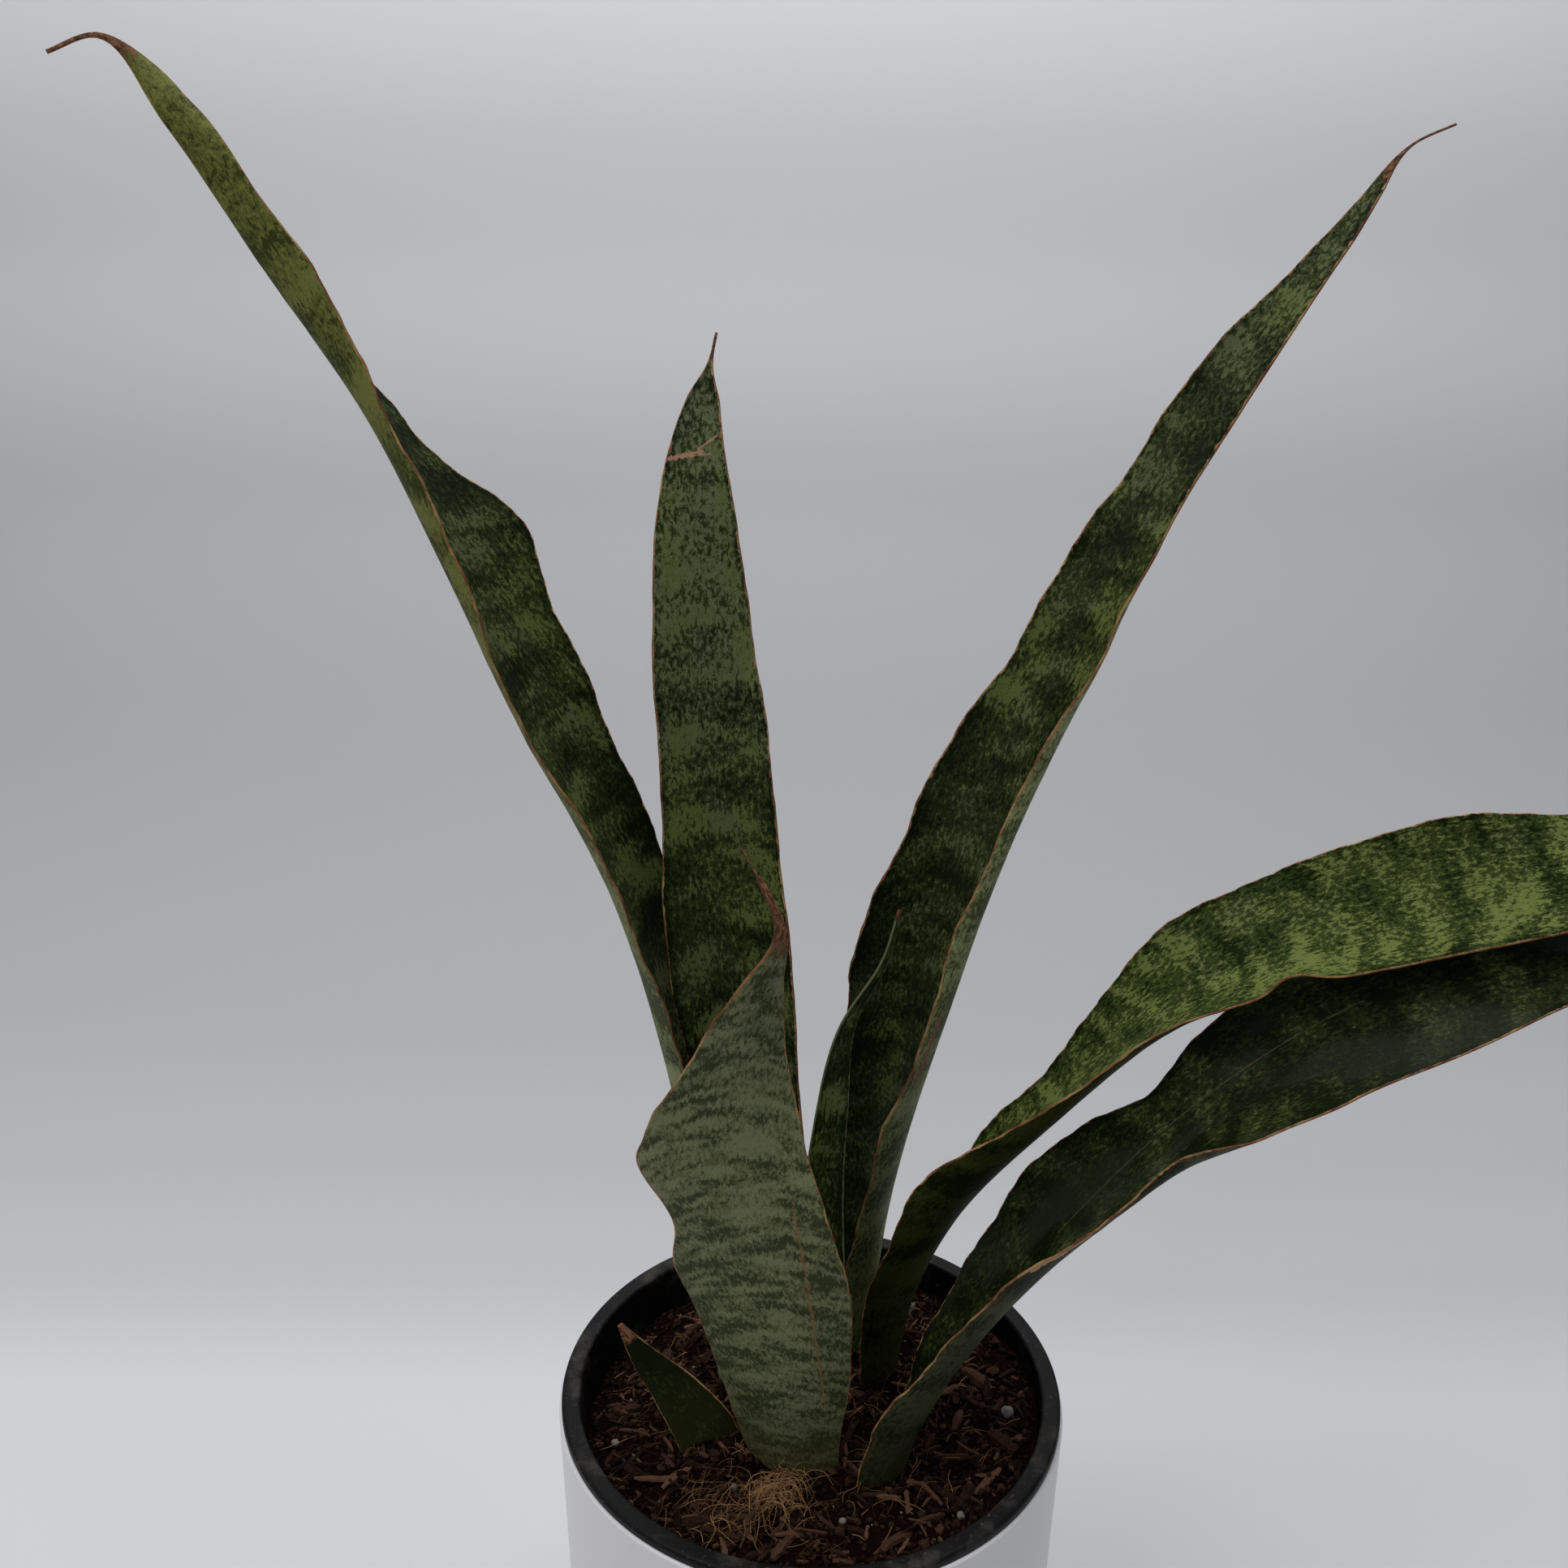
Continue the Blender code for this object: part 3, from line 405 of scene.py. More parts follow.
def leaf_material(name, seed, look):
    """Mottled blade: dark upper side, pale banded underside, brown margin, dry tip and scars."""
    n = Nodes(name)
    across, along = n.attribute("across"), n.attribute("along")
    edge, under, dry = n.attribute("edge"), n.attribute("under"), n.attribute("dry")
    along = n.math("ADD", along, seed * PATTERN_SHIFT)
    layer = n.math("MULTIPLY", under, UNDER_SHIFT)

    # Cross bands whose edges are drawn out along the blade, broken up by small flecks.
    comb = n.blade_noise(across, along, layer, (1.1, 0.08), detail=3)
    jagged = n.math("ADD", along, n.math("MULTIPLY", n.math("SUBTRACT", comb, 0.5), look.get("jag", 16.0)))
    bow = n.math("MULTIPLY", n.math("MULTIPLY", across, across), look.get("bow", 0.012))
    jagged = n.math("ADD", jagged, bow)
    band = n.blade_noise(across, jagged, layer, (look.get("breadth", 0.045), look["bands"]),
                         detail=2, roughness=0.5, distortion=0.3)
    fleck = n.blade_noise(across, along, layer, (0.85, 0.52), detail=6, roughness=0.72, distortion=0.4)
    patch = n.blade_noise(across, along, layer, (0.05, 0.017), detail=2)
    grain = n.blade_noise(across, along, layer, (3.4, 2.2), detail=3)
    mottle = n.math("ADD", n.math("MULTIPLY", band, 0.44), n.math("MULTIPLY", fleck, 0.56))
    mottle = n.math("ADD", mottle, n.math("MULTIPLY", n.math("SUBTRACT", patch, 0.5), 0.16))

    # Upper side, with a plain dark strip inside the margin and painted sheen near the tip: lighter grey
    # flecks that stand for light glancing off the blade.
    calm = n.math("MULTIPLY", n.math("SUBTRACT", 1.0, n.ramp(edge, 0.4, 2.6)), 0.05)
    lightness = n.math("SUBTRACT", n.math("ADD", mottle, look["pale"]), calm)
    start, end, sheen = look.get("sheen", (0.0, 1.0, 0.0))
    painted_sheen = n.math("MULTIPLY", n.ramp(n.attribute("along"), start, end), sheen)
    lightness = n.math("ADD", lightness, n.math("MULTIPLY", painted_sheen, 0.10))
    tone = look.get("tone", 1.0)
    upper = n.mix(n.ramp(lightness, 0.445, 0.495), scaled(LEAF_DARK, tone), scaled(LEAF_MID, tone))
    lime = look.get("lime", 0.0)
    pale = n.mix(n.ramp(patch, 0.44 - lime, 0.62 - lime), scaled(LEAF_LIGHT, tone), scaled(LEAF_LIME, tone))
    upper = n.mix(n.ramp(lightness, 0.525, 0.575), upper, pale)
    # Painted glints: grey-green specks in the low patches, standing for speckled reflections.
    painted_glints = n.math("MULTIPLY", n.ramp(patch, 0.52, 0.42), n.ramp(grain, 0.36, 0.56))
    upper = n.mix(n.math("MULTIPLY", painted_glints, look.get("glint", 0.2)), upper, LEAF_PAINTED_GLINT)
    # Painted sheen, flecked, lighter towards the tip.
    upper = n.mix(n.math("MULTIPLY", painted_sheen, n.ramp(fleck, 0.46, 0.58)), upper, LEAF_PAINTED_SHEEN)

    # Underside: pale, with dark flecks along broken cross bands.
    shade = scaled(look.get("tint", (1.0, 1.0, 0.9)), look.get("under", 1.0))
    lower = n.mix(n.ramp(mottle, 0.44, 0.50), tinted(UNDER_PALE, shade), tinted(UNDER_MID, shade))
    lower = n.mix(n.ramp(mottle, 0.515, 0.55), lower, tinted(UNDER_DARK, shade))
    start, end = look.get("olive", NEVER)
    lower = n.mix(n.ramp(n.attribute("along"), start, end), lower, UNDER_OLIVE, "MULTIPLY")
    colour = n.mix(n.ramp(under, 0.4, 0.6), upper, lower)
    colour = n.mix(n.math("MULTIPLY", n.ramp(grain, 0.45, 0.62), 0.25), colour, GRAIN_DARK)

    # Yellow towards the base, then scars, the margin and the dry tip.
    place = n.attribute("along")
    base = n.math("SUBTRACT", 1.0, n.ramp(place, 20.0, 52.0))
    colour = n.mix(n.math("MULTIPLY", base, look.get("base", 0.2)), colour, BASE_YELLOW)
    ragged = n.noise(n.vector(across, n.math("MULTIPLY", along, 0.45)), detail=3)
    for start, end, width, tint in look.get("scars", []):
        away = n.math("ADD", line_distance(n, across, place, start, end),
                      n.math("MULTIPLY", n.math("SUBTRACT", ragged, 0.5), 3.0 * width))
        scar = n.math("SUBTRACT", 1.0, n.ramp(away, 0.4 * width, 0.8 * width))
        colour = n.mix(n.math("MULTIPLY", scar, 0.85), colour, tint)
    rim_width = n.math("MULTIPLY", n.ramp(ragged, 0.3, 0.75), look.get("rim", 0.75))
    rim = n.math("SUBTRACT", 1.0, n.ramp(n.math("SUBTRACT", edge, rim_width), -0.12, 0.12))
    redness = n.noise(n.vector(0.0, n.math("MULTIPLY", along, 0.07)))
    rim_tint = n.mix(n.ramp(redness, 0.40, 0.60), RIM_RED, RIM_TAN)
    colour = n.mix(rim, colour, look.get("margin", rim_tint))
    withered = n.mix(n.ramp(fleck, 0.40, 0.60), scaled(DRY_BROWN, 0.25), DRY_BROWN)
    dryness = n.ramp(n.math("ADD", dry, n.math("MULTIPLY", n.math("SUBTRACT", fleck, 0.5), 0.5)), 0.35, 0.6)
    colour = n.mix(dryness, colour, withered)

    fibre = n.blade_noise(across, along, layer, (2.2, 0.05), detail=3)
    pucker = n.blade_noise(across, along, layer, (0.7, 0.7), detail=3)
    relief = n.math("ADD", n.math("MULTIPLY", fibre, 0.5), n.math("MULTIPLY", grain, 0.4))
    relief = n.math("ADD", relief, n.math("MULTIPLY", pucker, 0.8))
    roughness = n.math("ADD", 0.46, n.math("MULTIPLY", grain, 0.16))
    roughness = n.math("ADD", roughness, n.math("MULTIPLY", dryness, 0.25))
    return n.finish(colour, roughness, n.bump(relief, 0.0004, 0.8), specular=look.get("gloss", 0.05))


BROWN_SCAR = (0.23, 0.10, 0.06)
PINK_SCAR = (0.36, 0.19, 0.12)
TAN_SCAR = (0.42, 0.26, 0.15)
OLIVE_CREASE = (0.09, 0.075, 0.045)
RUST_CREASE = (0.22, 0.10, 0.045)
# Per-leaf looks. A leaf's sheen setting (start and end along the blade in mm, then share) places painted
# sheen near its tip.
LOOKS = {
    "leaf_tall_left": {"bands": 0.11, "pale": 0.012, "under": 1.4, "olive": (140, 290), "rim": 0.5},
    "leaf_back": {"bands": 0.12, "pale": 0.012, "rim": 0.6, "sheen": (200, 275, 0.45),
                  "scars": [((7, 304.5), (-2, 307.5), 0.8, PINK_SCAR),
                            ((-1, 308), (-5.5, 312), 0.4, PINK_SCAR),
                            ((1, 306), (-4.5, 307.2), 0.3, PINK_SCAR)]},
    # leaf_tall_right's underside is lifted past its own colour (under 1.8): painted light on the side that
    # faces away from the key lamp.
    "leaf_tall_right": {"bands": 0.10, "pale": 0.0, "under": 1.8, "rim": 0.7, "sheen": (270, 400, 0.22),
                        "scars": [((-17, 128), (-16, 150), 1.6, BROWN_SCAR)]},
    "leaf_arching_upper": {"bands": 0.12, "pale": 0.024, "tone": 1.22, "lime": 0.14, "under": 0.22,
                           "glint": 0.0, "tint": (1.0, 1.1, 0.45), "rim": 0.45, "gloss": 0.02},
    # leaf_arching_lower carries the most painted glints.
    "leaf_arching_lower": {"bands": 0.09, "pale": -0.03, "tone": 0.8, "under": 0.32, "glint": 0.7,
                           "gloss": 0.06, "rim": 0.45,
                           "scars": [((-17, 107), (-15.5, 124), 1.5, TAN_SCAR),
                                     ((4, 112), (8, 215), 0.2, OLIVE_CREASE)]},
    "leaf_front": {"bands": 0.30, "breadth": 0.075, "pale": 0.0, "base": 0.5, "jag": 6.0, "bow": 0.02,
                   "under": 1.12, "tint": (1.0, 0.99, 0.95),
                   "scars": [((13, 46), (15.5, 117), 0.4, RUST_CREASE)]},
    "leaf_inner": {"bands": 0.12, "pale": 0.01, "tone": 1.2, "rim": 0.3, "margin": (0.15, 0.15, 0.08)},
    "leaf_pup": {"bands": 0.10, "pale": -0.08, "tone": 0.7, "under": 0.3, "rim": 0.25},
}

# The withered end of these blades is a bare thread, from this share of the blade's length on.
THREADS = {"leaf_tall_left": 0.972, "leaf_back": 0.988, "leaf_tall_right": 0.978, "leaf_front": 0.985}
THREAD_FADE = 0.04          # share of the length over which the blade narrows to its thread
NO_THREAD = 2.0             # a share past the tip

# Ripples of a margin: the shortest and longest wave in mm, and the share of the full height.
RIPPLES = [(60, 90, 1.0), (28, 40, 0.45), (11, 15, 0.16), (5, 7, 0.09)]
PHASES = 6.28

SHORT_LEAVES = ("leaf_inner", "leaf_pup")
LONG_GRID = (260, 30)       # steps along the blade and across it
SHORT_GRID = (110, 16)


def bumps(listed, hand, distance):
    """Sum, along the blade, of the smooth bumps listed for one of its sides."""
    total = np.zeros_like(distance)
    for side, share, height, spread in listed:
        if side == hand:
            total += height * np.exp(-((distance - share * distance[-1]) / spread)**2)
    return total


def blade_section(reach, cup, fold, share):
    """How far out and up the blade's section is, part of the way from keel to margin, and its slope.
    It curls evenly by cup in all, and by fold more near the margin."""
    part = np.linspace(0, share, 25)
    slope = cup[:, None] * part + fold[:, None] * part**3
    step = reach[:, None] * share / (len(part) - 1)
    out = ((np.cos(slope[:, 1:]) + np.cos(slope[:, :-1])) / 2 * step).sum(axis=1)
    lift = ((np.sin(slope[:, 1:]) + np.sin(slope[:, :-1])) / 2 * step).sum(axis=1)
    return out, lift, slope[:, -1]


def make_leaf(name, leaf, seed, steps, across):
    """One blade as a closed solid with rippled margins, carrying its own surface coordinates."""
    spine, length = along_curve(leaf["spine"], steps + 1)
    spine[:, 2] += LIP_TOP
    t = np.linspace(0, 1, steps + 1)
    direction = unit(np.gradient(spine, axis=0))
    lean = math.radians(leaf["lean"])
    level = np.array([-math.sin(lean), math.cos(lean), 0.0])
    side = unit(level - (direction @ level)[:, None] * direction)
    face = np.cross(direction, side)
    roll = np.radians(stations(leaf["roll"], t))[:, None]
    side, face = (np.cos(roll) * side + np.sin(roll) * face, np.cos(roll) * face - np.sin(roll) * side)
    distance = t * length
    width = np.maximum(stations(leaf["width"], t) / 2, TIP_HALF)
    bare = np.clip((t - THREADS.get(name, NO_THREAD)) / THREAD_FADE + 1, 0, 1)
    width = width + (TIP_HALF - width) * bare * bare * (3 - 2 * bare)
    cup = np.radians(np.maximum(stations(leaf["cup"], t), 1.0))
    middle = np.minimum(BLADE_THICK + (BLADE_THICK_TIP - BLADE_THICK) * t, 0.3 * width + 0.5)
    full = np.clip((width - 2) / 10, 0, 1)
    rng = random.Random(40 + seed)
    ripples = {hand: [(rng.uniform(low, high), rng.uniform(0, PHASES), size) for low, high, size in RIPPLES]
               for hand in ("left", "right")}

    # Places across the blade, closer together near the margins.
    crowded = np.sin(np.linspace(-math.pi / 2, math.pi / 2, across + 1))
    shares = 0.6 * crowded + 0.4 * np.linspace(-1, 1, across + 1)
    upper, lower, coords = [], [], []
    for v in shares:
        hand = "left" if v > 0 else "right"
        ripple = sum(size * np.sin(2 * math.pi * distance / pitch + phase)
                     for pitch, phase, size in ripples[hand])
        wave = bumps(leaf.get("waves", []), hand, distance) + 0.35 * ripple * full
        reach = width + wave * min(1, abs(v) * 3)
        reach = np.maximum(reach, TIP_HALF)
        fold = np.radians(bumps(leaf.get("folds", []), hand, distance))
        out, lift, angle = blade_section(reach, cup * reach / width, fold, abs(v))
        lift = lift + 0.7 * ripple * full * abs(v)**3
        centre = spine + (out * np.sign(v))[:, None] * side + lift[:, None] * face
        normal = np.cos(angle)[:, None] * face - (np.sin(angle) * np.sign(v))[:, None] * side
        edge = np.minimum(MARGIN_THICK, 0.9 * reach)
        thick = edge + np.maximum(middle - edge, 0) * (1 - abs(v)**1.5)
        upper.append(centre + normal * (thick / 2)[:, None])
        lower.append(centre - normal * (thick / 2)[:, None])
        coords.append(np.stack([v * reach, distance, reach * (1 - abs(v))], axis=1))

    cols = across + 1
    skins = [np.stack(skin, axis=1).reshape(-1, 3) for skin in (upper, lower)]
    coords = np.stack(coords, axis=1).reshape(-1, 3)
    shift = (steps + 1) * cols
    faces = []
    for i in range(steps):
        for j in range(across):
            a = i * cols + j
            faces.append((a, a + 1, a + 1 + cols, a + cols))
            faces.append((a + shift, a + cols + shift, a + 1 + cols + shift, a + 1 + shift))
        for a in (i * cols, i * cols + across):
            faces.append((a, a + cols, a + cols + shift, a + shift))
    for row in (0, steps):
        for j in range(across):
            a = row * cols + j
            faces.append((a, a + 1, a + 1 + shift, a + shift))
    coords = np.concatenate([coords, coords])
    attributes = {
        "across": coords[:, 0],
        "along": coords[:, 1],
        "edge": coords[:, 2],
        "under": np.repeat([0.0, 1.0], shift),
        "dry": np.clip((coords[:, 1] / length - leaf["dry"]) / (1 - leaf["dry"]) + 0.5, 0, 1),
    }
    mat = leaf_material(name + "_blade", seed, LOOKS[name])
    obj = outward(add_mesh(name + "_blade", np.concatenate(skins), faces, mat, attributes=attributes))
    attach(obj, "root")
    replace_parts(obj, name)
    return obj


def make_leaves():
    for seed, (name, leaf) in enumerate(LEAVES.items(), start=1):
        make_leaf(name, leaf, seed, *(SHORT_GRID if name in SHORT_LEAVES else LONG_GRID))


# ---- pots -----------------------------------------------------------------------
TURN_STEPS = 192
COVER_TAPER = 2.6           # mm by which the cover pot's foot is narrower than its top


def glaze_material():
    n = Nodes("white_glaze")
    place = n.position()
    cloud = n.noise(place, scale=9, detail=3)
    colour = n.mix(cloud, (0.635, 0.625, 0.63), (0.68, 0.67, 0.675))
    ripple = n.noise(place, scale=60, detail=2)
    return n.finish(colour, n.math("ADD", 0.26, n.math("MULTIPLY", cloud, 0.1)), n.bump(ripple, 0.0002, 0.25))


def liner_material():
    n = Nodes("black_plastic")
    place = n.position()
    speck = n.ramp(n.noise(place, scale=700, detail=4, roughness=0.75), 0.62, 0.72)
    dust = n.ramp(n.noise(place, scale=60, detail=5, roughness=0.7), 0.5, 0.75)
    colour = n.mix(n.math("MULTIPLY", dust, 0.7), (0.0022, 0.0022, 0.0022), (0.065, 0.060, 0.050))
    colour = n.mix(n.math("MULTIPLY", speck, 0.7), colour, (0.14, 0.115, 0.09))
    rough = n.math("ADD", 0.5, n.math("MULTIPLY", dust, 0.2))
    return n.finish(colour, rough, n.bump(n.noise(place, scale=900, detail=3), 0.0001, 0.4), specular=0.12)


def make_pots():
    wall, floor, foot, rim = 5.0, 6.0, 4.0, 1.0
    foot_radius = -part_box("cover_pot")[0].x / MM - COVER_TAPER
    profile = [(0, 0)] + arc((foot_radius - foot, foot), foot, -90, 0)
    profile += arc((COVER_RADIUS - rim, COVER_HEIGHT - rim), rim, 0, 90)
    profile += arc((COVER_RADIUS - wall + rim, COVER_HEIGHT - rim), rim, 90, 180)
    profile += arc((foot_radius - wall - foot, floor + foot), foot, 0, -90) + [(0, floor)]
    cover = revolve("cover_pot_glazed", profile, TURN_STEPS, glaze_material())
    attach(cover, "root")
    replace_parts(cover, "cover_pot")

    curl, skin, foot_out, inner = 1.2, LINER_SKIN, LINER_FOOT_RADIUS, LIP_INNER
    neck = LIP_TOP - LIP_HIGH
    profile = [(0, LINER_FOOT), (foot_out, LINER_FOOT), (inner + skin, neck), (LIP_RADIUS, neck)]
    profile += arc((LIP_RADIUS - curl, LIP_TOP - curl), curl, 0, 90)
    profile += arc((inner + curl, LIP_TOP - curl), curl, 90, 180)
    profile += [(inner, neck), (foot_out - skin, LINER_FOOT + skin), (0, LINER_FOOT + skin)]
    liner = revolve("nursery_pot_liner", profile, TURN_STEPS, liner_material())
    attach(liner, "root")
    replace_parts(liner, "nursery_pot")


# ---- potting mix ----------------------------------------------------------------
BED_FOOT_INSET = 11.5       # mm by which the bed's foot is narrower than its top
CRUMBS = 4200
SLIVERS = 900
TUFT_FIBRES = 150
STREWN_FIBRES = 150
LOOSE_FIBRES = 340
PERLITE_CRUMBS = 70


def soil_height(x, y):
    """Height of the potting mix at a place, in mm."""
    height = LIP_TOP - SOIL_DROP + SOIL_RISE_X * x + SOIL_RISE_Y * y
    height += SOIL_MOUND * math.exp(-(x * x + y * y) / SOIL_MOUND_RADIUS**2)
    return height + SOIL_BUMP * math.sin(0.17 * x + 1.0) * math.cos(0.21 * y - 0.6)


def crumbly(x, y):
    """Height of the loose surface, in mm."""
    lump = noise.fractal(Vector((0.10 * x, 0.10 * y, 3.1)), 0.75, 2.1, 6)
    return soil_height(x, y) + 1.4 * lump - 0.7


def mix_edge(angle):
    """Radius of the mix at an angle, just inside the liner at its own height."""
    top, bottom = LIP_TOP - LIP_HIGH, LINER_FOOT + LINER_SKIN
    level = soil_height(SOIL_RADIUS * math.cos(angle), SOIL_RADIUS * math.sin(angle)) - 1.0
    share = (top - level) / (top - bottom)
    return LIP_INNER + (LINER_FOOT_RADIUS - LINER_SKIN - LIP_INNER) * share - 0.35


def mix_material(name, dark, light, scale=700.0, speck=(0.10, 0.055, 0.035)):
    n = Nodes(name)
    place = n.position()
    tone = n.attribute("tone")
    grain = n.noise(place, scale=scale, detail=6, roughness=0.75)
    colour = n.mix(n.math("ADD", n.math("MULTIPLY", tone, 0.7), n.math("MULTIPLY", grain, 0.3)), dark, light)
    colour = n.mix(n.math("MULTIPLY", n.ramp(grain, 0.60, 0.72), 0.35), colour, speck)
    return n.finish(colour, 0.95, n.bump(grain, 0.0006, 0.9), specular=0.02)


def make_soil():
    rings, steps = 110, 300
    points, tones = [(0, 0, crumbly(0, 0))], [0.4]
    for ring in range(1, rings + 1):
        for k in range(steps):
            a = 2 * math.pi * k / steps
            radius = mix_edge(a) * ring / rings
            x, y = radius * math.cos(a), radius * math.sin(a)
            points.append((x, y, crumbly(x, y)))
            tones.append(0.5 + 0.5 * noise.noise(Vector((0.3 * x, 0.3 * y, 0.0))))
    foot = SOIL_RADIUS - BED_FOOT_INSET
    for k in range(steps):
        a = 2 * math.pi * k / steps
        points.append((foot * math.cos(a), foot * math.sin(a), SOIL_BOTTOM))
        tones.append(0.3)
    faces = []
    for k in range(steps):
        n = (k + 1) % steps
        faces.append((0, 1 + k, 1 + n))
        for ring in range(rings):
            a, b = 1 + ring * steps, 1 + (ring + 1) * steps
            faces.append((a + k, b + k, b + n, a + n))
    last = 1 + rings * steps
    faces.append(tuple(range(last, last + steps)))
    # The bed shows only between the crumbs and chips. Its near-black colour is partly the dark mix and partly
    # painted shade of the hollows between them.
    mat = mix_material("potting_mix", (0.0008, 0.0003, 0.0002), (0.010, 0.0038, 0.0022))
    soil = outward(add_mesh("potting_mix_bed", points, faces, mat, attributes={"tone": tones}))
    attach(soil, "root")
    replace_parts(soil, "potting_soil")


class Heap:
    """Many small solids gathered into one mesh, each with its own tone."""

    def __init__(self):
        self.points, self.faces, self.tones = [], [], []

    def put(self, points, faces, tone):
        start = len(self.points)
        self.points.extend(points)
        self.faces.extend([tuple(start + i for i in face) for face in faces])
        self.tones.extend([tone] * len(points))

    def build(self, name, mat, smooth=True):
        obj = outward(add_mesh(name, self.points, self.faces, mat, smooth, {"tone": self.tones}))
        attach(obj, "root")
        return obj


def ball(subdivisions):
    bm = bmesh.new()
    bmesh.ops.create_icosphere(bm, subdivisions=subdivisions, radius=1.0)
    points = np.array([v.co for v in bm.verts])
    faces = [tuple(v.index for v in f.verts) for f in bm.faces]
    bm.free()
    return points, faces


def turned(rng):
    """A random rotation."""
    spin = Matrix.Rotation(rng.uniform(0, 2 * math.pi), 3, Vector((rng.gauss(0, 1), rng.gauss(0, 1), 1)))
    return np.array(spin)


def spot(rng, reach):
    """A random place on the mix, within reach of its middle."""
    a = rng.uniform(0, 2 * math.pi)
    r = reach * math.sqrt(rng.random())
    return r * math.cos(a), r * math.sin(a)


def make_crumbs():
    rng = random.Random(11)
    heap = Heap()
    points, faces = ball(1)
    for _ in range(CRUMBS):
        x, y = spot(rng, SOIL_RADIUS)
        size = rng.uniform(0.3, 1.05) * (1.7 if rng.random() < 0.08 else 1)
        inward = min(1.0, (SOIL_RADIUS - 0.9 - 1.5 * size) / math.hypot(x, y))
        x, y = x * inward, y * inward
        stretch = np.array([rng.uniform(0.7, 1.5), rng.uniform(0.6, 1.1), rng.uniform(0.5, 1.0)])
        dents = np.array([rng.uniform(0.75, 1.15) for _ in points])[:, None]
        shape = (points * dents * stretch * size) @ turned(rng).T
        heap.put(list(shape + (x, y, crumbly(x, y) + 0.3 * size)), faces, rng.random()**1.6)
    mat = mix_material("crumbs", (0.0010, 0.0004, 0.0002), (0.050, 0.026, 0.018))
    heap.build("mix_crumbs", mat, smooth=False)


def sliver(rng, x, y, length, width, thick, compass=None):
    """Split piece of bark lying on the mix: a bent strip with ragged ends."""
    a = rng.uniform(0, 2 * math.pi) if compass is None else math.radians(compass)
    tilt = rng.uniform(-0.3, 0.3)
    forward = np.array([math.cos(a), math.sin(a), tilt])
    sideways = np.array([-math.sin(a), math.cos(a), rng.uniform(-0.3, 0.3)])
    up = np.array([0, 0, 1.0])
    middle = np.array([x, y, crumbly(x, y) + 0.45 * thick])
    bend = rng.uniform(-0.08, 0.08) * length
    points, faces = [], []
    stages = 9
    for i in range(stages):
        s = 2 * i / (stages - 1) - 1
        taper = (1 - 0.45 * abs(s)**5) * rng.uniform(0.72, 1.12)
        core = middle + forward * s * length / 2 + sideways * bend * (s * s - 0.4)
        for u, w in ((-1, -0.5), (-0.4, -1), (0.5, -0.9), (1, -0.3), (0.75, 0.7), (0.1, 1), (-0.7, 0.8)):
            jitter = rng.uniform(0.8, 1.15)
            points.append(core + sideways * u * width / 2 * taper * jitter + up * w * thick / 2 * taper)
    for i in range(stages - 1):
        for k in range(7):
            n = (k + 1) % 7
            faces.append((i * 7 + k, i * 7 + n, i * 7 + 7 + n, i * 7 + 7 + k))
    faces.append(tuple(range(7)))
    faces.append(tuple(range((stages - 1) * 7, stages * 7)))
    return points, faces


def bark_material(name, dark, light):
    n = Nodes(name)
    place = n.position()
    tone = n.attribute("tone")
    grain = n.noise(place, scale=420, detail=6, roughness=0.7, distortion=1.2)
    streak = n.math("MULTIPLY", n.math("SUBTRACT", grain, 0.45), 0.6)
    colour = n.mix(n.math("ADD", n.math("MULTIPLY", tone, 0.85), streak, clamp=True), dark, light)
    return n.finish(colour, 0.85, n.bump(grain, 0.0007, 0.9), specular=0.06)


def make_bark():
    rng = random.Random(5)
    mat = bark_material("bark", (0.0040, 0.0013, 0.0008), (0.135, 0.066, 0.042))
    for name in sorted(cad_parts):
        if not name.startswith("bark_chip"):
            continue
        low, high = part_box(name)
        middle = (low + high) / 2 / MM
        size = (high - low) / MM
        compass = math.degrees(math.atan2(size.y, size.x)) * rng.choice((-1, 1))
        heap = Heap()
        length = 0.98 * math.hypot(size.x, size.y) * 0.82
        heap.put(*sliver(rng, middle.x, middle.y, length, 0.36 * length, 2.2, compass), rng.uniform(0.0, 0.5))
        chip = heap.build(name + "_split", mat, smooth=False)
        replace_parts(chip, name)
    heap = Heap()
    for _ in range(SLIVERS):
        x, y = spot(rng, SOIL_RADIUS - 2.5)
        length = rng.choice((2, 3, 4, 5, 6, 8, 10, 13)) * rng.uniform(0.8, 1.2)
        width = rng.uniform(0.4, 2.2) * (0.5 + length / 14)
        if math.hypot(x, y) + length / 2 > SOIL_RADIUS - 2:
            length = 2.5
        heap.put(*sliver(rng, x, y, length, width, rng.uniform(0.4, 1.8)), rng.random()**2.6)
    heap.build("bark_slivers", mat, smooth=False)


def fibre(points, radius, sides=5):
    """Thin tube through a few points."""
    line, _ = along_curve(points, 12)
    direction = unit(np.gradient(line, axis=0))
    side = unit(np.cross(direction, (0.31, 0.17, 0.93)))
    other = np.cross(direction, side)
    verts, faces = [], []
    for i, centre in enumerate(line):
        r = radius * (1 - 0.5 * i / len(line))
        for k in range(sides):
            a = 2 * math.pi * k / sides
            verts.append(centre + r * (math.cos(a) * side[i] + math.sin(a) * other[i]))
    for i in range(len(line) - 1):
        for k in range(sides):
            n = (k + 1) % sides
            faces.append((i * sides + k, i * sides + n, (i + 1) * sides + n, (i + 1) * sides + k))
    faces.append(tuple(range(sides)))
    faces.append(tuple(range(len(verts) - sides, len(verts))))
    return verts, faces


TUFT = (-10.0, -37.0)       # mm, the middle of the tuft of coir


